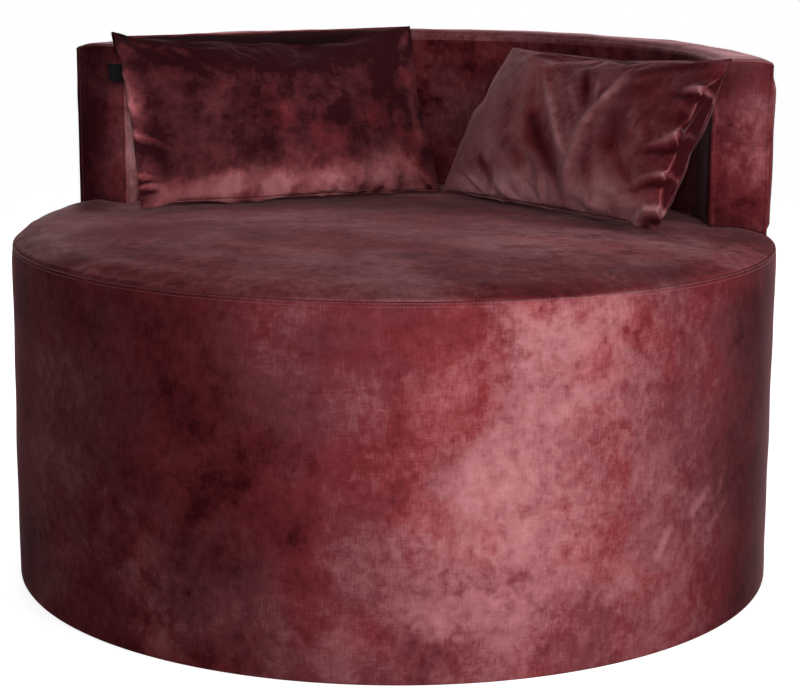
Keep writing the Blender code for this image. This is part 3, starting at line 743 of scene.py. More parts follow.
RIGHT_FOLDS = in_metres(
    (
        (188, 208, 237, 217, 4.8, 6.2),
        (196, 197, 232, 204, 5.6, -6.8),
        (180, 112, 239, 149, 5.4, 5.6),
        (182, 100, 238, 126, 5.8, -6.2),
        (180, 54, 248, 85, 4.8, 6),
        (184, 44, 248, 73, 5.7, -6.6),
        (200, 6, 226, 27, 4.8, 5.6),
        (226, 27, 247, 33, 4.8, 5.6),
        (221, 6, 242, 20, 5.6, -4.4),
        (-77, 206, -31, 160, 5.8, 4, (0.2, 1.0)),
        (-25, 154, 27, 100, 5.8, 4.4, WHOLE),
        (33, 94, 58, 70, 5.8, 4, (1.0, 0.0)),
        (-99, 200, -64, 144, 11, -4, (0.2, 0.9)),
        (-51, 130, 23, 67, 13, -8, WHOLE),
        (36, 52, 54, 25, 10, -6.2, (1.0, 0.2)),
        (92, 226, 79, 180, 6.2, 4.6, (0.2, 1.0)),
        (76, 171, 66, 141, 7.8, 5.8, WHOLE),
        (64.5, 127, 67.5, 71.5, 11.2, 6, WHOLE),
        (69, 56, 73, 25, 10.5, 4.6, (1.0, 0.1)),
        (13, 214, 52, 154, 8.5, -6),
        (46, 205, 65, 165, 4.5, 2.8),
        (104, 175, 141, 93, 15, -6.2),
        (-215, 44, -138, 10, 4.5, -3.4),
        (-153, 41, -76, 10, 4.5, -3.4),
        (-83, 34, -13, 8, 4.5, -3),
        (-190, 40, -112, 8, 4, 2.6),
        (-118, 38, -45, 8, 4, 2.6),
        (-166, 238, -76, 201, 7, 2.4),
    ),
    unit=1000,
)

FOLD_OUT = 0.222
FOLD_LOW = 0.022
FOLD_HIGH = 0.236
NARROW_FOLD = 0.0075


def fold_ends(start, end):
    """1 for an end of a fold that lies at a seam, and 0 for one that runs out in the cloth."""
    return tuple(
        float(abs(x) > FOLD_OUT or z < FOLD_LOW or z > FOLD_HIGH) for x, z in (start, end)
    )


def fold_light_and_shade(folds):
    """Painted highlight along a fold's ridge, and painted shade in its hollow."""
    marks = []
    for start, end, wide, height, *ends in folds:
        strength = (135 if wide < NARROW_FOLD else 60) * height
        marks.append((start, end, 1.1 * wide, strength, *(ends or [fold_ends(start, end)])))
    return tuple(marks)


TAB_COLOURS = ((0.0022, 0.0022, 0.0026), (0.011, 0.011, 0.012))
LINING_COLOURS = ((0.010, 0.010, 0.011), (0.035, 0.035, 0.037))
PLYWOOD_COLOURS = ((0.36, 0.22, 0.11), (0.62, 0.44, 0.26))
TIMBER_COLOURS = ((0.40, 0.24, 0.11), (0.68, 0.48, 0.27))
BOARD_COLOURS = ((0.16, 0.085, 0.040), (0.33, 0.20, 0.11))


def make_materials():
    # The parts are lit and shaded copies of one velvet: lift, the four facing weights and the marks
    # paint light and shade on each.
    drum = {"depth": 1.13, "blush": 0.27, "red": 0.49}
    left = {"lift": -0.47, "depth": 1.12, "red": 0.50, "blush": -0.30}
    left |= {"shift": (1.3, 0.0, 0.4), "facing_shade": (0.0, 0.08, -0.66, 0.36)}
    right = {"lift": -0.01, "depth": 1.0, "red": 0.45, "blush": 0.16}
    right |= {"shift": (-2.1, 0.3, 0.2), "facing_shade": (-0.46, 0.26, -0.34, 0.08)}
    left_painted_strokes = LEFT_LIGHT_AND_SHADE + fold_light_and_shade(LEFT_FOLDS)
    right_painted_and_pile_strokes = RIGHT_SHADE_AND_PILE_STROKES + fold_light_and_shade(RIGHT_FOLDS)
    return {
        "drum": velvet("velvet_drum", "round", 0.15, marks=DRUM_SHADE_AND_PILE_STROKES, **drum),
        "back_inside": velvet("velvet_back_inside", "round", 0.10, 1.45, -0.06, INSIDE_LIGHT_AND_SHADE),
        "back_outside": velvet("velvet_back_outside", "round", 0.15),
        "seat": velvet("velvet_seat", "across", 0.15, 1.5, 0.07, SEAT_LIGHT_AND_SHADE),
        "panel": velvet("velvet_panel", "up", 0.22, 1.35, 0.05, PANEL_LIGHT_AND_SHADE),
        "rim": velvet("velvet_rim", "across", 0.52, 1.3, 0.22, red=0.40),
        "left_cushion": velvet("velvet_left_cushion", "up", 0.08, marks=left_painted_strokes, **left),
        "right_cushion": velvet("velvet_right_cushion", "up", 0.20, marks=right_painted_and_pile_strokes, **right),
        "thread": thread_material(),
        "lining": woven("black_lining_cloth", *LINING_COLOURS, 0.0011),
        "webbing": woven("elastic_webbing", (0.012, 0.012, 0.012), (0.075, 0.070, 0.065), 0.0030),
        "tab": woven("bare_black_tab", *TAB_COLOURS, 0.0007, 0.8, 0.01, 0.04),
        "tape": woven("zip_tape_cloth", (0.012, 0.006, 0.007), (0.050, 0.018, 0.022), 0.0008),
        "coil": woven("zip_coil", (0.020, 0.008, 0.009), (0.070, 0.022, 0.026), 0.0009, 0.5, 0.0),
        "plywood": wood("birch_plywood", *PLYWOOD_COLOURS, 40.0, (6.0, 1.5, 60.0)),
        "timber": wood("softwood", *TIMBER_COLOURS, 30.0, (14.0, 14.0, 1.2)),
        "hardboard": wood("bending_board", *BOARD_COLOURS, 8.0, (9.0, 9.0, 9.0)),
        "foam": foam_material("cut_foam", (0.50, 0.43, 0.26), (0.78, 0.71, 0.50), 0.0022),
        "wadding": foam_material("fibre_wadding", (0.60, 0.60, 0.58), (0.88, 0.88, 0.86), 0.0060),
        "steel": metal("zinc_plated_steel", (0.62, 0.62, 0.60), 0.30),
        "zip": metal("dark_zip_metal", (0.16, 0.13, 0.12), 0.32),
        "plastic": plastic_material(),
    }


# Drum and seat

HEM_ROWS = (0.0042, 0.0055, 0.0075, 0.0105)
HEM_UNDER = (
    (0.4890, 0.0037),
    (0.5050, 0.0036),
    (0.5250, 0.0034),
    (0.5380, 0.0024),
    (0.5430, 0.0012),
    (0.5465, 0.0005),
    (0.5493, 0.0003),
    (0.5514, 0.0009),
    (0.5525, 0.0024),
)


def front_pull(front, heights):
    """The small pull across the drum's front, by degrees from its middle and height."""
    line = 0.4085 + 0.0048 * ((front - 11.0) / 13.0) ** 2
    along = smooth(9.0, 13.0, front) * (1 - smooth(21.0, 25.0, front))
    off = heights[:, None] - line[None]
    fold = 0.00085 * hump(off, 0.0045) - 0.0006 * hump(off + 0.008, 0.005)
    dimple = np.hypot((front[None] - 21.6) / 1.5, (heights[:, None] - 0.4065) / 0.006)
    return fold * along[None] - 0.0009 * hump(dimple, 1.0)


def make_drum(materials):
    angle = np.linspace(0, 2 * np.pi, 720, endpoint=False)
    high = SEAM_HEIGHT - CLOTH - 0.0003
    shoulder = SEAM_HEIGHT - SHOULDER
    side = np.linspace(0.014, shoulder, 74)[:-1]
    up_shoulder = shoulder + (high - shoulder) * np.linspace(0.0, 1.0, 26)
    heights = np.concatenate([HEM_ROWS, side, up_shoulder])
    share = np.clip((heights - shoulder) / (high - shoulder), 0, 1)
    radius = CHAIR_RADIUS - SHOULDER_IN * (1 - np.sqrt(1 - np.minimum(share, 0.9999) ** 2))
    belly = 0.0018 * (1 - smooth(0.15, 0.36, heights)) - 0.0008 * smooth(0.36, 0.48, heights)
    radius += 0.0010 + belly + welt_profile(high - heights)
    under = np.array(HEM_UNDER)
    radius = np.concatenate([under[:, 0], radius])
    heights = np.concatenate([under[:, 1], heights])
    points = round_points(radius[:, None], angle, heights[:, None])
    outer = round_points(1.0, angle, 0.0)
    inside = smooth(0.010, 0.05, heights) * (1 - smooth(0.455, 0.478, heights))
    lumps = 0.00055 * waves(3, 0.32)(points) + 0.00022 * waves(4, 0.09)(points)
    points += outer[None] * (lumps * inside[:, None])[..., None]
    turn = (angle + np.pi) % (2 * np.pi) - np.pi
    front = np.degrees(np.where(turn > 0, np.pi - turn, -np.pi - turn))
    closing_seam = 0.0011 * hump(turn * CHAIR_RADIUS, 0.0016)[None] * (heights[:, None] > 0.002)
    points += outer[None] * (front_pull(front, heights) - closing_seam)[..., None]
    piece = cloth_piece("drum_side_velvet", points, materials["drum"], wrap=True, flip=True)
    belongs(piece, "chair", "velvet", "base_cover", fill=1.0)
    for number, distance in enumerate((NEAR_STITCHES, FAR_STITCHES)):
        row = int(np.argmin(np.abs((high - heights) - distance)))
        path = np.concatenate([points[row], points[row][:1]])
        outwards = np.concatenate([outer, outer[:1]])
        name = f"drum_stitches_{number + 1}"
        belongs(stitch_row(name, path, outwards, materials["thread"]), "chair", "velvet")


def make_seat(materials):
    angle = np.linspace(0, 2 * np.pi, 480, endpoint=False)
    roll, edge = np.linspace(0.905, 0.985, 26), np.linspace(0.9875, 1.0, 10)
    shares = np.concatenate([[0.0], np.linspace(0.02, 0.9, 70), roll, edge])
    radius = SEAM_RADIUS * shares
    drop = 0.0016 * smooth(SEAM_RADIUS - 0.0045, SEAM_RADIUS, radius) ** 2
    points = round_points(radius[:, None], angle, (seat_surface(radius) - drop)[:, None])
    lumps = 0.0007 * waves(11, 0.26)(points) + 0.00030 * waves(12, 0.10)(points)
    lumps = np.maximum(lumps, -0.0007)
    ripple = np.cos(angle * 46 + 3 * waves(13, 0.5)(points[-1])) * 0.00035
    near_rim = smooth(0.90, 0.975, shares) * (1 - smooth(0.985, 1.0, shares))
    inside = 1 - smooth(0.975, 1.0, shares)
    turn = (np.degrees(angle) + 180) % 360 - 180
    fuller = 0.0085 * hump(turn + 90, 24) * hump(shares[:, None] - 0.94, 0.07)
    points[..., 2] += (lumps + fuller) * inside[:, None] + near_rim[:, None] * ripple[None]
    piece = cloth_piece("seat_top_velvet", points, materials["seat"], wrap=True)
    belongs(piece, "chair", "velvet", "seat_cover", fill=COVER_FILL)


# Back


def to_ends(angle):
    """How far an angle lies from the nearer end of the back."""
    return np.minimum(angle + BACK_HALF_ANGLE, BACK_HALF_ANGLE - angle)


def make_rim(materials):
    steps = np.linspace(-1, 1, 300)
    angle = BACK_HALF_ANGLE * np.sin(steps * np.pi / 2) * 0.35 + BACK_HALF_ANGLE * steps * 0.65
    share = (1 - np.cos(np.linspace(0, np.pi, 44))) / 2
    distance = BACK_THICKNESS * share
    droop = 0.0016 * (1 - np.clip(to_ends(angle) * 0.5 / 0.006, 0, 1)) ** 2
    crown = rim_crown(angle[None], share[:, None])
    height = rim_seam(angle)[None] + crown + CLOTH - droop[None]
    points = round_points((BACK_INNER + distance)[:, None], angle, height)
    normals = normals_of(points)
    normals *= np.sign(normals[..., 2:3].mean())
    welts = welt_profile(distance)[:, None] + welt_profile(BACK_THICKNESS - distance)[:, None]
    lumps = 0.0006 * waves(21, 0.16)(points) + 0.0003 * waves(22, 0.05)(points)
    middle = (smooth(0.05, 0.2, share) * (1 - smooth(0.8, 0.95, share)))[:, None]
    points = points + normals * (welts + lumps * middle)[..., None]
    piece = cloth_piece("back_rim_velvet", points, materials["rim"])
    belongs(piece, "chair", "velvet", "back_top_cover", fill=COVER_FILL)
    for name, reach in (("inner", distance), ("outer", BACK_THICKNESS - distance)):
        path = points[int(np.argmin(np.abs(reach - FAR_STITCHES)))][4:-4]
        row = stitch_row(f"rim_stitches_{name}", path, (0.0, 0.0, 1.0), materials["thread"])
        belongs(row, "chair", "velvet")


def make_wall(side, radius, outwards, puff, material, seed):
    """A curved panel of the back. outwards is 1 on the outer face, and -1 on the inner one."""
    angle = np.linspace(-BACK_HALF_ANGLE, BACK_HALF_ANGLE, 300)
    low = seat_surface(radius) + LEAST_GAP
    high = rim_seam(angle) + 0.0012
    foot, head = [0.0, 0.006, 0.014, 0.026], [0.962, 0.974, 0.983, 0.99, 0.995, 1.0]
    share = np.concatenate([foot, np.linspace(0.04, 0.95, 50), head])
    height = low + (high[None] - low) * share[:, None]
    top = high[None] - height
    bottom = height - low
    beside = to_ends(angle)[None] * radius
    proud = puff * smooth(0.0, 0.040, top) * smooth(0.0, 0.016, bottom) * smooth(0.0, 0.022, beside)
    proud -= 0.0013 * hump(top, 0.0012) + 0.0010 * hump(bottom, 0.0015)
    proud -= 0.0010 * hump(beside, 0.0012)
    points = round_points(radius, angle, height)
    lumps = 0.0007 * waves(seed, 0.22)(points) + 0.00035 * waves(seed + 1, 0.07)(points)
    lumps *= smooth(0.0, 0.03, top) * smooth(0.0, 0.03, bottom)
    points = round_points(radius + outwards * (proud + lumps), angle, height)
    piece = cloth_piece(f"back_{side}_velvet", points, material, flip=outwards > 0)
    belongs(piece, "chair", "velvet", f"back_{side}_cover", fill=COVER_FILL)


def make_end(name, side, materials):
    """The flat panel at an end of the back, softly filled, with a raised seam at both sides."""
    angle = side * BACK_HALF_ANGLE
    across = (1 - np.cos(np.linspace(0, np.pi, 84))) / 2
    radius = BACK_INNER + BACK_THICKNESS * across
    low = seat_surface(radius) + LEAST_GAP
    high = rim_seam(angle) + rim_crown(angle, across) + CLOTH - 0.0012
    foot, head = [0.0, 0.008, 0.018], [0.975, 0.984, 0.991, 0.996, 1.0]
    up = np.concatenate([foot, np.linspace(0.03, 0.965, 82), head])
    height = low[None] + (high - low)[None] * up[:, None]
    inner = (radius - BACK_INNER)[None]
    outer = (BACK_OUTER - radius)[None]
    top = high[None] - height
    bottom = height - low[None]
    proud = 0.0050 * smooth(0.004, 0.030, inner) * smooth(0.0, 0.026, outer)
    proud = proud * smooth(0.0, 0.03, top) * smooth(0.0, 0.02, bottom)
    bead = 0.0036 * np.sqrt(np.clip(1 - ((inner - 0.0036) / 0.0038) ** 2, 0, 1))
    proud = proud + (bead + 1.5 * welt_profile(outer)) * smooth(0.0, 0.004, top)
    proud -= 0.0012 * hump(top, 0.0012) + 0.0010 * hump(bottom, 0.0015)
    points = round_points(radius, angle, height)
    lumps = 0.0008 * waves(41 + side, 0.11)(points)
    lumps *= smooth(0.0, 0.02, inner) * smooth(0.0, 0.02, outer) * smooth(0.0, 0.03, top)
    way = np.array([side * math.cos(angle), -side * math.sin(angle), 0.0])
    points += way * (proud + lumps)[..., None]
    piece = cloth_piece(f"back_end_velvet_{name}", points, materials["panel"], flip=side < 0)
    belongs(piece, "chair", "velvet", f"back_end_cover_{name}", fill=COVER_FILL)
    column = int(np.argmin(np.abs((BACK_OUTER - radius) - FAR_STITCHES)))
    path = points[2:-2, column]
    row = stitch_row(f"end_stitches_{name}", path, way, materials["thread"])
    belongs(row, "chair", "velvet")


# Cushions

CLOTH_SETTINGS = {
    "quality": 6,
    "mass": 0.3,
    "tension_stiffness": 40,
    "compression_stiffness": 40,
    "shear_stiffness": 8,
    "bending_stiffness": 0.4,
    "tension_damping": 25,
    "compression_damping": 25,
    "shear_damping": 25,
    "air_damping": 5,
    "use_pressure": True,
}
SIMULATED_FRAMES = 40


def catmull_rom(grid, axis, parts):
    """The grid with each step along an axis cut in this many parts, on a smooth curve."""
    grid = np.moveaxis(grid, axis, 0)
    held = np.concatenate([2 * grid[:1] - grid[1:2], grid, 2 * grid[-1:] - grid[-2:-1]])
    before, start, stop, after = held[:-3], held[1:-2], held[2:-1], held[3:]
    rows = []
    for part in range(parts):
        t = part / parts
        bend = 2 * before - 5 * start + 4 * stop - after
        twist = 3 * start - before - 3 * stop + after
        rows.append(0.5 * (2 * start + (stop - before) * t + bend * t**2 + twist * t**3))
    woven_in = np.stack(rows, axis=1).reshape(-1, *grid.shape[1:])
    return np.moveaxis(np.concatenate([woven_in, grid[-1:]]), 0, axis)


class Pillow:
    """Two panels sewn together at their edges, as grids of points in the cushion's own frame:
    x along its width, y through it and z up its height. The front is the panel with y below 0."""

    def __init__(self, cell, seed):
        self.seed = seed
        columns, rows = round(FLAT_WIDTH / cell) + 1, round(FLAT_HEIGHT / cell) + 1
        self.u, self.v = np.meshgrid(np.linspace(-1, 1, columns), np.linspace(-1, 1, rows))
        self.front, self.back = self.start(-1), self.start(1)
        self.sew()

    def start(self, side):
        bulge = 0.012 * (1 - self.u**4) * (1 - self.v**4) + 0.002
        flat = np.stack([self.u * FLAT_WIDTH / 2, side * bulge, self.v * FLAT_HEIGHT / 2], axis=-1)
        flat[..., 1] += 0.0015 * waves(self.seed, 0.09)(flat)
        return flat

    def both(self):
        return (self.front, self.back)

    def sides(self):
        return zip((-1, 1), self.both())

    def border(self):
        edge = np.zeros(self.u.shape, bool)
        edge[0], edge[-1], edge[:, 0], edge[:, -1] = True, True, True, True
        return edge

    def sew(self):
        edge = self.border()
        middle = (self.front[edge] + self.back[edge]) / 2
        for grid in self.both():
            grid[edge] = middle

    def simulate(self, frames, pressure):
        """Fills the pillow with Blender's Cloth and keeps the form of the last frame."""
        edge = self.border()
        front_index = np.arange(edge.size).reshape(edge.shape)
        back_index = np.where(edge, front_index, -1)
        back_index[~edge] = edge.size + np.arange((~edge).sum())
        verts = np.concatenate([self.front.reshape(-1, 3), self.back[~edge]])
        faces = []
        for index, way in ((front_index, 1), (back_index, -1)):
            corners = (index[:-1, :-1], index[:-1, 1:], index[1:, 1:], index[1:, :-1])
            quads = np.stack(corners, axis=-1).reshape(-1, 4)
            faces += quads[:, ::way].tolist()
        mesh = bpy.data.meshes.new("pillow")
        mesh.from_pydata(verts.tolist(), [], faces)
        mesh.update()
        pillow = bpy.data.objects.new("pillow", mesh)
        bpy.context.scene.collection.objects.link(pillow)
        cloth = pillow.modifiers.new("cloth", "CLOTH")
        for key, value in CLOTH_SETTINGS.items():
            setattr(cloth.settings, key, value)
        cloth.settings.uniform_pressure_force = pressure
        cloth.settings.effector_weights.gravity = 0
        cloth.collision_settings.use_collision = False
        cloth.point_cache.frame_start = 1
        cloth.point_cache.frame_end = frames
        for number in range(1, frames + 1):
            bpy.context.scene.frame_set(number)
        graph = bpy.context.evaluated_depsgraph_get()
        done = np.empty(len(verts) * 3, np.float32)
        pillow.evaluated_get(graph).data.vertices.foreach_get("co", done)
        done = done.reshape(-1, 3).astype(float)
        bpy.context.scene.frame_set(1)
        bpy.data.objects.remove(pillow, do_unlink=True)
        self.front, self.back = done[front_index], done[back_index]

    def puff(self):
        crown = np.clip((1 - self.u**2) * (1 - self.v**2), 0, 1) ** 0.5
        for side, grid in self.sides():
            grid[..., 0] = self.u * (0.245 - 0.012 * (1 - self.v**4))
            grid[..., 2] = self.v * (0.1425 - 0.012 * (1 - self.u**4))
            grid[..., 1] = side * CUSHION_DEPTH / 2 * crown
        self.sew()

    def fit(self, corners):
        """Sizes the pillow to the cushion, then moves its four corners to where they lie."""
        everything = np.concatenate([grid.reshape(-1, 3) for grid in self.both()])
        low, high = everything.min(0), everything.max(0)
        origin = np.array([(low[0] + high[0]) / 2, (low[1] + high[1]) / 2, low[2]])
        for grid in self.both():
            grid -= origin
            grid *= (CUSHION_WIDTH, CUSHION_DEPTH, CUSHION_HEIGHT)
            grid /= high - low
        ends = ((0, 0), (0, -1), (-1, 0), (-1, -1))
        shifts = [np.array(to) - self.front[at][[0, 2]] for to, at in zip(corners, ends)]
        for grid in self.both():
            s = np.clip(grid[..., 0] / CUSHION_WIDTH + 0.5, 0, 1)[..., None]
            t = np.clip(grid[..., 2] / CUSHION_HEIGHT, 0, 1)[..., None]
            low_shift = shifts[0] * (1 - s) + shifts[1] * s
            high_shift = shifts[2] * (1 - s) + shifts[3] * s
            grid[..., [0, 2]] += low_shift * (1 - t) + high_shift * t

    def refine(self, parts):
        """Evens both panels out a little, then makes their grids this many times finer."""
        for grid in self.both():
            inner = grid[1:-1, 1:-1]
            around = grid[:-2, 1:-1] + grid[2:, 1:-1] + grid[1:-1, :-2] + grid[1:-1, 2:]
            inner += 0.5 * (around / 4 - inner)
        self.front, self.back = (
            catmull_rom(catmull_rom(grid, 0, parts), 1, parts) for grid in self.both()
        )
        rows, columns = self.front.shape[:2]
        self.u, self.v = np.meshgrid(np.linspace(-1, 1, columns), np.linspace(-1, 1, rows))
        self.sew()

    def pull(self, pulls):
        """Moves seams: pulls are (side, place along it, half width, way towards the middle)."""
        near = {"top": self.v + 1, "bottom": 1 - self.v, "left": 1 - self.u, "right": self.u + 1}
        for side, place, wide, distance in pulls:
            axis, along = (2, 0) if side in ("top", "bottom") else (0, 2)
            way = -1 if side in ("top", "right") else 1
            for grid in self.both():
                bump = hump(grid[..., along] - place, wide)
                grid[..., axis] += way * distance * bump * (near[side] / 2) ** 2

    def roll(self, low, high, forward, full):
        """Brings the right seam forward between two heights, and rounds the back out beside it."""
        gap = (1 - self.u) * CUSHION_WIDTH / 2
        for grid, round_out in zip(self.both(), (0.0, full)):
            z = grid[..., 2]
            held = smooth(low, low + 0.05, z) * (1 - smooth(high - 0.05, high, z))
            grid[..., 1] -= forward * held * hump(gap, 0.045)
            grid[..., 1] += round_out * held * gap / 0.030 * np.exp(1 - gap / 0.030)
            grid[..., 0] += 0.4 * round_out * held * gap / 0.014 * np.exp(1 - gap / 0.014)

    def gather(self, height):
        """Small puckers that run in from the seams, on both panels."""
        gaps = (1 - self.v, 1 + self.v, (1 + self.u) * 1.6, (1 - self.u) * 1.6)
        slants = (0.9, -0.7, 0.5, -0.6)
        for number, (side, grid) in enumerate(self.sides()):
            normals = normals_of(grid)
            normals *= side * np.sign(normals[..., 1].mean())
            moved = np.zeros(self.u.shape)
            for turn, (gap, slant) in enumerate(zip(gaps, slants)):
                along = grid[..., 0] if turn < 2 else grid[..., 2]
                spot = np.stack(
                    [along + slant * gap * 0.05, 0 * along + turn, 0 * along + number], axis=-1
                )
                spot = spot * (1, 9, 9)
                ripple = waves(self.seed + 40 + turn + 7 * number, 0.034)(spot)
                strength = 0.5 + 0.5 * waves(self.seed + 60 + turn, 0.16)(spot)
                reach = gap / 0.16
                full = reach * np.exp(1 - reach) * (gap < 0.9)
                moved += ripple * np.clip(strength, 0, 1.5) * full
            grid += normals * (height * moved)[..., None]

    def crease(self, folds):
        """Moves the front along its normals: folds are (start, end, half width, height)."""
        normals = normals_of(self.front)
        normals *= -np.sign(normals[..., 1].mean())
        flat = self.front[..., [0, 2]]
        moved = np.zeros(self.u.shape)
        for start, end, wide, height, *ends in folds:
            a, b = np.array(start), np.array(end)
            along = np.clip(((flat - a) @ (b - a)) / ((b - a) @ (b - a)), 0, 1)
            off = np.linalg.norm(flat - (a + along[..., None] * (b - a)), axis=-1)
            first, last = ends[0] if ends else fold_ends(start, end)
            fading = first == last == 0
            full = 4 * along * (1 - along) if fading else first + (last - first) * along
            full = 0.12 + 0.88 * full
            moved += height * full * hump(off, wide * (0.55 + 0.45 * full))
        moved[self.border()] = 0
        self.front += normals * moved[..., None]

    def straighten_zip(self):
        """Brings the lower edge of each panel to its straight lip beside the zip."""
        seam = self.front[0].copy()
        held = 1 - smooth(SLOT_END, SLOT_FADE, np.abs(seam[:, 0]))
        for side, grid in self.sides():
            above = np.clip((grid[..., 2] - seam[None, :, 2]) / 0.045, 0, 1)
            fade = (1 - above) ** 2 * held[None]
            grid[..., 2] += fade * (LIP_LOW - seam[:, 2])[None]
            grid[..., 1] += fade * (side * LIP_GAP - seam[:, 1])[None]

    def open_zip(self):
        """Keeps both panels off the lane that the zip's slider runs in."""
        for side, grid in self.sides():
            clear = LIP_GAP * (1 - smooth(SLOT_END, SLOT_FADE, np.abs(grid[..., 0])))
            grid[..., 1] = side * np.maximum(side * grid[..., 1], clear)

    def flatten_tab_side(self, low, high, edge):
        """Brings the left seam to the tab's inner edge between two heights."""
        seam = self.front[:, 0].copy()
        near = smooth(low - 0.03, low, seam[:, 2]) * (1 - smooth(high, high + 0.03, seam[:, 2]))
        for grid in self.both():
            inside = np.clip((grid[..., 0] - seam[:, None, 0]) / 0.06, 0, 1)
            fade = (1 - inside) ** 2 * near[:, None]
            grid[..., 0] += fade * (edge - seam[:, 0])[:, None]
            grid[..., 1] -= fade * seam[:, 1][:, None]

    def mesh(self, name, material):
        """One mesh of the two panels, and between them the two lips of cloth over the zip."""
        x = self.front[0, :, 0]
        slot = (1 - smooth(0.1805, 0.1860, np.abs(x)))[:, None]
        middle = (self.front[0] + self.back[0]) / 2
        lips = []
        for (side, grid), last in zip(self.sides(), (3, 2)):
            lip = []
            for half, height in LIP_PROFILE[:last]:
                opened = np.stack(np.broadcast_arrays(x, side * half, height), axis=-1)
                shut = middle + (grid[0] - middle) * half / LIP_GAP * 0.5
                lip.append(shut + (opened - shut) * slot)
            lips.append(lip)
        loop = [*self.front[::-1], *lips[0], *lips[1][::-1], *self.back]
        bm = bmesh.new()
        verts = [bm.verts.new(point) for line in loop for point in line]
        columns = len(x)
        for row in range(len(loop) - 1):
            for first in range(row * columns, (row + 1) * columns - 1):
                corners = (first, first + 1, first + columns + 1, first + columns)
                bm.faces.new([verts[corner] for corner in corners])
        bmesh.ops.remove_doubles(bm, verts=bm.verts, dist=0.00004)
        ends = [edge for edge in bm.edges if edge.is_boundary]
        bmesh.ops.holes_fill(bm, edges=ends, sides=0)
        bmesh.ops.recalc_face_normals(bm, faces=bm.faces)
        mesh = bpy.data.meshes.new(name)
        bm.to_mesh(mesh)
        bm.free()
        return link_piece(name, mesh, material)


def cushion_frame(side, turn, lean):
    """The cushion's own frame, from its CAD cover: x along its width and z up its height."""
    stand = Matrix.Rotation(math.radians(turn), 4, "Z")
    stand = stand @ Matrix.Rotation(-math.radians(lean), 4, "X")
    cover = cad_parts[f"{side}_cushion_cover"]
    points = np.array([vertex.co for vertex in cover.data.vertices])
    local = points @ np.array(stand.to_3x3())
    low, high = local.min(0), local.max(0)
    foot = stand @ Vector(((low[0] + high[0]) / 2, (low[1] + high[1]) / 2, low[2]))
    return Matrix.Translation(foot) @ stand


def keep_clear(pillow, place, towards):
    """Rests the cushion on the seat, the back and the plane where the two cushions meet."""
    turn = np.array(place.to_3x3())
    foot = np.array(place.translation)
    for grid in pillow.both():
        world = grid @ turn.T + foot
        radius = np.hypot(world[..., 0], world[..., 1])
        floor = seat_surface(np.minimum(radius, SEAM_RADIUS)) + SEAT_CLEAR
        world[..., 2] = np.maximum(world[..., 2], floor)
        below = 1 - smooth(0.735, 0.755, world[..., 2])
        angle = np.arctan2(world[..., 0], world[..., 1])
        beside = 1 - smooth(BACK_HALF_ANGLE, BACK_HALF_ANGLE + 0.03, np.abs(angle))
        over = np.maximum(radius - (BACK_INNER - BACK_CLEAR), 0) * below * beside
        world[..., :2] *= (1 - over / radius)[..., None]
        past = np.maximum(towards * (world[..., 0] - MEETING_PLANE) + MEETING_CLEAR, 0)
        world[..., 0] -= towards * past
        grid[...] = (world - foot) @ turn


# The corners run from the lower left one to the lower right, upper left and upper right ones.
CUSHIONS = {
    "left": {
        "turn": 36.0,
        "lean": 27.5,
        "towards": 1,
        "seed": 5,
        "pressure": 2.9,
        "folds": LEFT_FOLDS,
        "pulls": (
            ("top", 0.095, 0.075, 0.016),
            ("top", -0.030, 0.060, 0.004),
            ("top", -0.150, 0.050, -0.006),
            ("left", 0.125, 0.05, 0.008),
            ("right", 0.170, 0.05, 0.004),
            ("bottom", -0.140, 0.07, 0.003),
        ),
        "corners": ((-0.2389, 0.0002), (0.2500, 0.0075), (-0.2430, 0.2890), (0.2520, 0.2925)),
    },
    "right": {
        "turn": -41.0,
        "lean": 33.0,
        "towards": -1,
        "seed": 17,
        "pressure": 2.7,
        "folds": RIGHT_FOLDS,
        "pulls": (("top", 0.050, 0.10, 0.011), ("left", 0.150, 0.095, -0.017)),
        "corners": ((-0.2428, 0.0090), (0.2480, 0.0019), (-0.2500, 0.2715), (0.2310, 0.2811)),
    },
}


def make_cushion(side, materials):
    facts = CUSHIONS[side]
    place = cushion_frame(side, facts["turn"], facts["lean"])
    pillow = Pillow(0.0065, facts["seed"])
    pillow.simulate(SIMULATED_FRAMES, facts["pressure"])
    pillow.fit(facts["corners"])
    pillow.refine(3)
    pillow.pull(facts["pulls"])
    if side == "right":
        pillow.roll(0.012, 0.262, 0.018, 0.018)
    pillow.gather(0.0004)
    pillow.crease(facts["folds"])
    pillow.straighten_zip()
    if side == "left":
        pillow.flatten_tab_side(TAB_LOW, TAB_LOW + TAB_TALL, TAB_EDGE)
    keep_clear(pillow, place, facts["towards"])
    pillow.open_zip()
    body = f"{side}_cushion"
    piece = pillow.mesh(f"{body}_velvet", materials[body])
    nodes = (f"{body}_cover", f"{body}_pad")
    belongs(piece, body, "velvet", *nodes, fill=CUSHION_FILL, place=place)
    return place


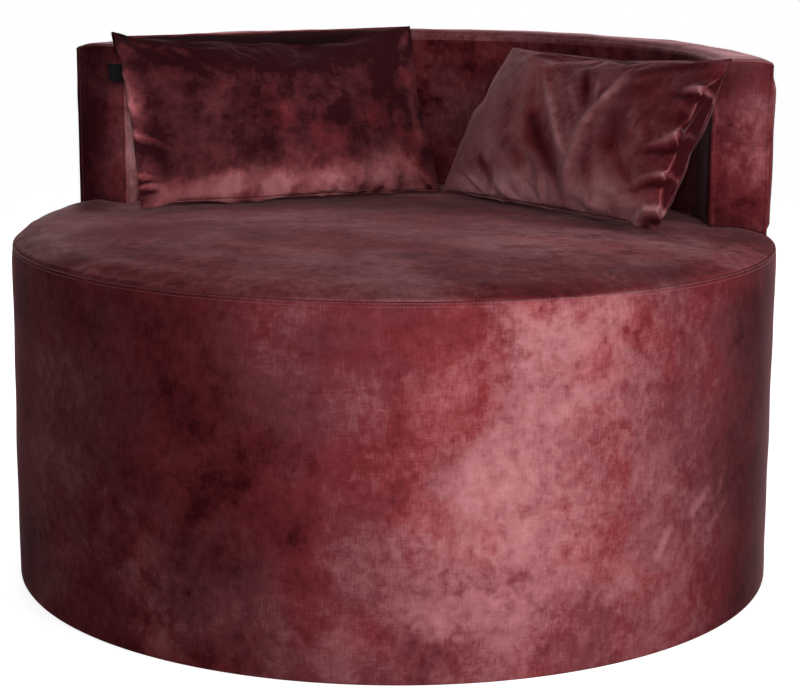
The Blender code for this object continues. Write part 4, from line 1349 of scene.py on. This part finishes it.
def make_tab(place, materials):
    """A bare woven ribbon, folded double at its outer end and caught in the side seam."""
    gap, bend = 0.00055, 0.00075
    out = np.linspace(0.0015, -TAB_WIDE + bend, 22)
    fold = np.linspace(np.pi / 2, 3 * np.pi / 2, 9)[1:-1]
    ribbon = [(x, -gap) for x in out]
    ribbon += [(out[-1] + bend * math.cos(turn), -bend * math.sin(turn)) for turn in fold]
    ribbon += [(x, gap) for x in out[::-1]]
    x, y = np.array(ribbon).T
    heights = np.linspace(0, 1, 26)[:, None]
    flat = np.broadcast_arrays(TAB_EDGE + x, y, TAB_LOW + TAB_TALL * heights)
    points = np.stack(flat, axis=-1)
    reach = np.clip((TAB_EDGE - points[..., 0]) / TAB_WIDE, 0, 1)
    points[..., 1] += -0.0030 * reach**2 + 0.0007 * reach * np.sin(5.0 * heights + 0.6)
    points[..., 2] += 0.0025 * reach * (1 - 0.4 * heights)
    selvedge = np.minimum(heights, 1 - heights)
    points[..., 1] += np.sign(y) * 0.00022 * hump(selvedge, 0.05)
    piece = cloth_piece("left_cushion_ribbon", points, materials["tab"], thickness=0.0004)
    belongs(piece, "left_cushion", "tab", "left_cushion_tab", place=place)
    path = points[1:-1, int(np.argmin(np.abs(out + 0.0035)))]
    size = {"pitch": 0.0026, "length": 0.0019, "radius": 0.00024}
    name = "left_cushion_ribbon_stitches"
    stitches = stitch_row(name, path, (0.0, -1.0, 0.0), materials["tab"], **size)
    belongs(stitches, "left_cushion", "tab", place=place)


def make_zip(side, place, materials):
    """The zip's tape with its coil of teeth, inside the slot of the lower seam."""
    half_length = ZIP_LENGTH / 2 - 0.0006
    x = np.linspace(-half_length, half_length, 181)
    across = np.linspace(-0.0033, 0.0033, 13)[:, None]
    ribs = (0.00012 * np.cos(x * 900) * (np.abs(across) > 0.002)) ** 2
    flat = np.broadcast_arrays(x, across, ZIP_TAPE_LOW + 0.00002 + ribs)
    points = np.stack(flat, axis=-1)
    tape = cloth_piece(f"{side}_zip_cloth", points, materials["tape"], thickness=0.0011)
    belongs(tape, f"{side}_cushion", "lining", f"{side}_zip_tape", place=place)
    verts, faces = [], []
    pitch, radius, corners, stations = 0.0016, 0.00034, 6, 7
    wide, low, deep = 0.00085, ZIP_TAPE_LOW - 0.0002, 0.0010
    for number in range(int(2 * half_length / pitch)):
        start = -half_length + (number + 0.5) * pitch
        turn = 1 if number % 2 else -1
        faces += tube_faces(len(verts), stations, corners)
        for station in range(stations):
            bend = math.pi * station / (stations - 1)
            centre = (start, -turn * wide * math.cos(bend), low - deep * math.sin(bend))
            for corner in range(corners):
                around = ROUND * corner / corners
                lift = math.sin(around)
                lean = (math.cos(around), -turn * lift * math.cos(bend), -lift * math.sin(bend))
                verts.append(tuple(c + radius * part for c, part in zip(centre, lean)))
    coil = new_piece(f"{side}_zip_coil", verts, faces, materials["coil"])
    belongs(coil, f"{side}_cushion", "lining", place=place)


# Underside

STAPLES = 48
STAPLE_ROUTE = (
    (-0.0050, 0.0024),
    (-0.0050, 0.0003),
    (-0.0046, -0.0001),
    (0.0046, -0.0001),
    (0.0050, 0.0003),
    (0.0050, 0.0024),
)
STAPLE_LEG = 0.0048
STAPLE_WIRE = (
    (-0.00055, -0.00025),
    (0.00055, -0.00025),
    (0.00055, 0.00025),
    (-0.00055, 0.00025),
)


def make_staples(materials):
    verts, faces = [], []
    for number in range(STAPLES):
        turn = ROUND * number / STAPLES
        out = np.array([math.sin(turn), math.cos(turn), 0.0])
        way = np.array([math.cos(turn), -math.sin(turn), 0.0])
        middle = out * (DUST_RADIUS - 0.006)
        middle[2] = DUST_LOW - 0.0005
        faces += tube_faces(len(verts), len(STAPLE_ROUTE), len(STAPLE_WIRE))
        for along, high in STAPLE_ROUTE:
            for wide, deep in STAPLE_WIRE:
                leg = abs(along) >= STAPLE_LEG
                side = math.copysign(deep, -along) if leg else 0.0
                up = np.array([0.0, 0.0, high + (0.0 if leg else deep)])
                verts.append(middle + (along + side) * way + wide * out + up)
    wires = new_piece("dust_cover_staples", np.array(verts), faces, materials["steel"])
    wires.data.shade_flat()
    belongs(wires, "chair", "steel")


def make_dust_cover(materials):
    """Black cloth stapled under the base, drawn a little towards each staple."""
    angle = np.linspace(0, 2 * np.pi, 384, endpoint=False)
    share = np.concatenate([np.linspace(0.0, 0.92, 34), np.linspace(0.93, 1.0, 10)])[:, None]
    pull = np.cos(angle * STAPLES)
    radius = DUST_RADIUS * share * (1 + 0.0012 * pull * smooth(0.93, 1.0, share))
    points = round_points(radius, angle, 0.0)
    hem = smooth(0.80, 0.96, share) * (1 - 0.3 * smooth(0.97, 1.0, share))
    sag = 0.0004 * (smooth(0.0, 0.35, share) * (1 - smooth(0.6, 0.95, share)))
    lumps = 0.0002 * waves(71, 0.16)(points) * (1 - smooth(0.85, 1.0, share))
    points[..., 2] = DUST_LOW + lumps
    points[..., 2] += 0.00028 * (pull - 1) * hem - sag
    look = {"wrap": True, "thickness": 0.0005, "flip": True}
    cover = cloth_piece("dust_cover_cloth", points, materials["lining"], **look)
    belongs(cover, "chair", "lining", "dust_cover")


# What carries over from the CAD, by the starts of its names

KINDS = {
    "plywood": ("base_bottom_ring", "base_deck_ring", "back_bottom_rib", "back_top_rib"),
    "timber": ("base_post", "back_post", "back_rail"),
    "hardboard": ("base_side_board", "back_inner_board", "back_outer_board"),
    "foam": ("base_side_foam", "seat_foam", "back_inner_foam", "back_top_foam"),
    "wadding": ("seat_wadding", "back_outer_wadding", "left_cushion_pad", "right_cushion_pad"),
    "webbing": ("webbing",),
    "lining": ("deck_cloth", "dust_cover"),
    "steel": ("back_bolt",),
    "plastic": ("glide",),
    "tape": ("left_zip_tape", "right_zip_tape"),
    "zip": ("left_zip_slider", "right_zip_slider"),
    "tab": ("left_cushion_tab",),
}


def dress_nodes(materials):
    for name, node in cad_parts.items():
        for kind, starts in KINDS.items():
            if name.startswith(starts):
                node.data.materials.clear()
                node.data.materials.append(materials[kind])


# Stage

# Each lamp's name, place, aim, size, power in watts and spread in degrees
LAMPS = (
    ("key", (0.590, -0.985, 0.26), (0.30, -0.44, 0.26), (0.15, 0.42), 4.6, 180.0),
    ("side", (1.75, -0.45, 0.92), (-0.30, 0.02, 0.66), (0.5, 0.3), 0.9, 46.0),
    ("upper", (0.5, -2.6, 1.30), (0.0, 0.15, 0.66), (0.6, 0.4), 0.75, 30.0),
    ("top", (0.5, 1.7, 2.6), (0.0, 0.0, 0.45), (2.4, 1.2), 18.0, 180.0),
    ("fill", (1.7, -3.0, 1.3), (0.0, 0.0, 0.6), (1.2, 1.2), 21.0, 180.0),
    ("edge", (-0.265, -0.370, 0.68), (-0.445, 0.095, 0.60), (0.03, 0.20), 0.030, 16.0),
    ("rear", (-1.6, 3.0, 1.2), (0.0, 0.0, 0.4), (1.6, 1.6), 30.0, 180.0),
)


def make_lamps():
    for name, place, aim, size, power, spread in LAMPS:
        data = bpy.data.lights.new(name, "AREA")
        data.shape = "RECTANGLE"
        data.size, data.size_y = size
        data.energy = power
        data.spread = math.radians(spread)
        lamp = bpy.data.objects.new(name, data)
        lamp.visible_camera = False
        lamp.location = place
        lamp.rotation_mode = "QUATERNION"
        lamp.rotation_quaternion = (Vector(aim) - Vector(place)).to_track_quat("-Z", "Y")
        bpy.context.scene.collection.objects.link(lamp)


def make_floor():
    """A pale floor that looks white, and still shows the object's shadow."""
    graph = new_graph("pale_floor")
    grain = graph.noise(graph.place(), 3.0, 4.0)
    colour = graph.ramp(grain, (0.3, (0.86, 0.86, 0.86)), (0.7, (0.90, 0.90, 0.90)))
    graph.finish(colour, 0.8)
    plain = graph.tree.nodes["Principled BSDF"].outputs[0]
    lit = graph.glow("ShaderNodeEmission", FLOOR_GLOW)
    both = graph.add("ShaderNodeAddShader", {0: plain, 1: lit}).outputs[0]
    mixed = graph.add("ShaderNodeMixShader", {0: graph.seen_ray(), 1: plain, 2: both})
    graph.put(graph.tree.nodes["Material Output"], "Surface", mixed.outputs[0])
    bpy.ops.mesh.primitive_plane_add(size=30.0, location=(0, 0, FLOOR_LOW))
    floor = bpy.context.object
    floor.name = "floor"
    floor.data.materials.append(graph.owner)


def make_world():
    """A world that is seen white, and lights the object only a little."""
    world = bpy.data.worlds.new("studio")
    bpy.context.scene.world = world
    graph = Graph(world)
    graph.tree.nodes.clear()
    dim = graph.glow("ShaderNodeBackground", WORLD_DIM)
    white = graph.glow("ShaderNodeBackground", 1.0)
    mixed = graph.add("ShaderNodeMixShader", {0: graph.seen_ray(), 1: dim, 2: white})
    graph.add("ShaderNodeOutputWorld", {"Surface": mixed.outputs[0]})


materials = make_materials()
make_camera()
make_drum(materials)
make_seat(materials)
make_rim(materials)
make_wall("inside", BACK_INNER, -1, 0.0024, materials["back_inside"], 31)
make_wall("outside", BACK_OUTER, 1, 0.0072, materials["back_outside"], 35)
make_end("left", -1, materials)
make_end("right", 1, materials)
for cushion_side in ("left", "right"):
    cushion_place = make_cushion(cushion_side, materials)
    make_zip(cushion_side, cushion_place, materials)
    if cushion_side == "left":
        make_tab(cushion_place, materials)
make_dust_cover(materials)
make_staples(materials)
dress_nodes(materials)
make_floor()
make_world()
make_lamps()
bpy.context.scene.view_settings.view_transform = "Standard"
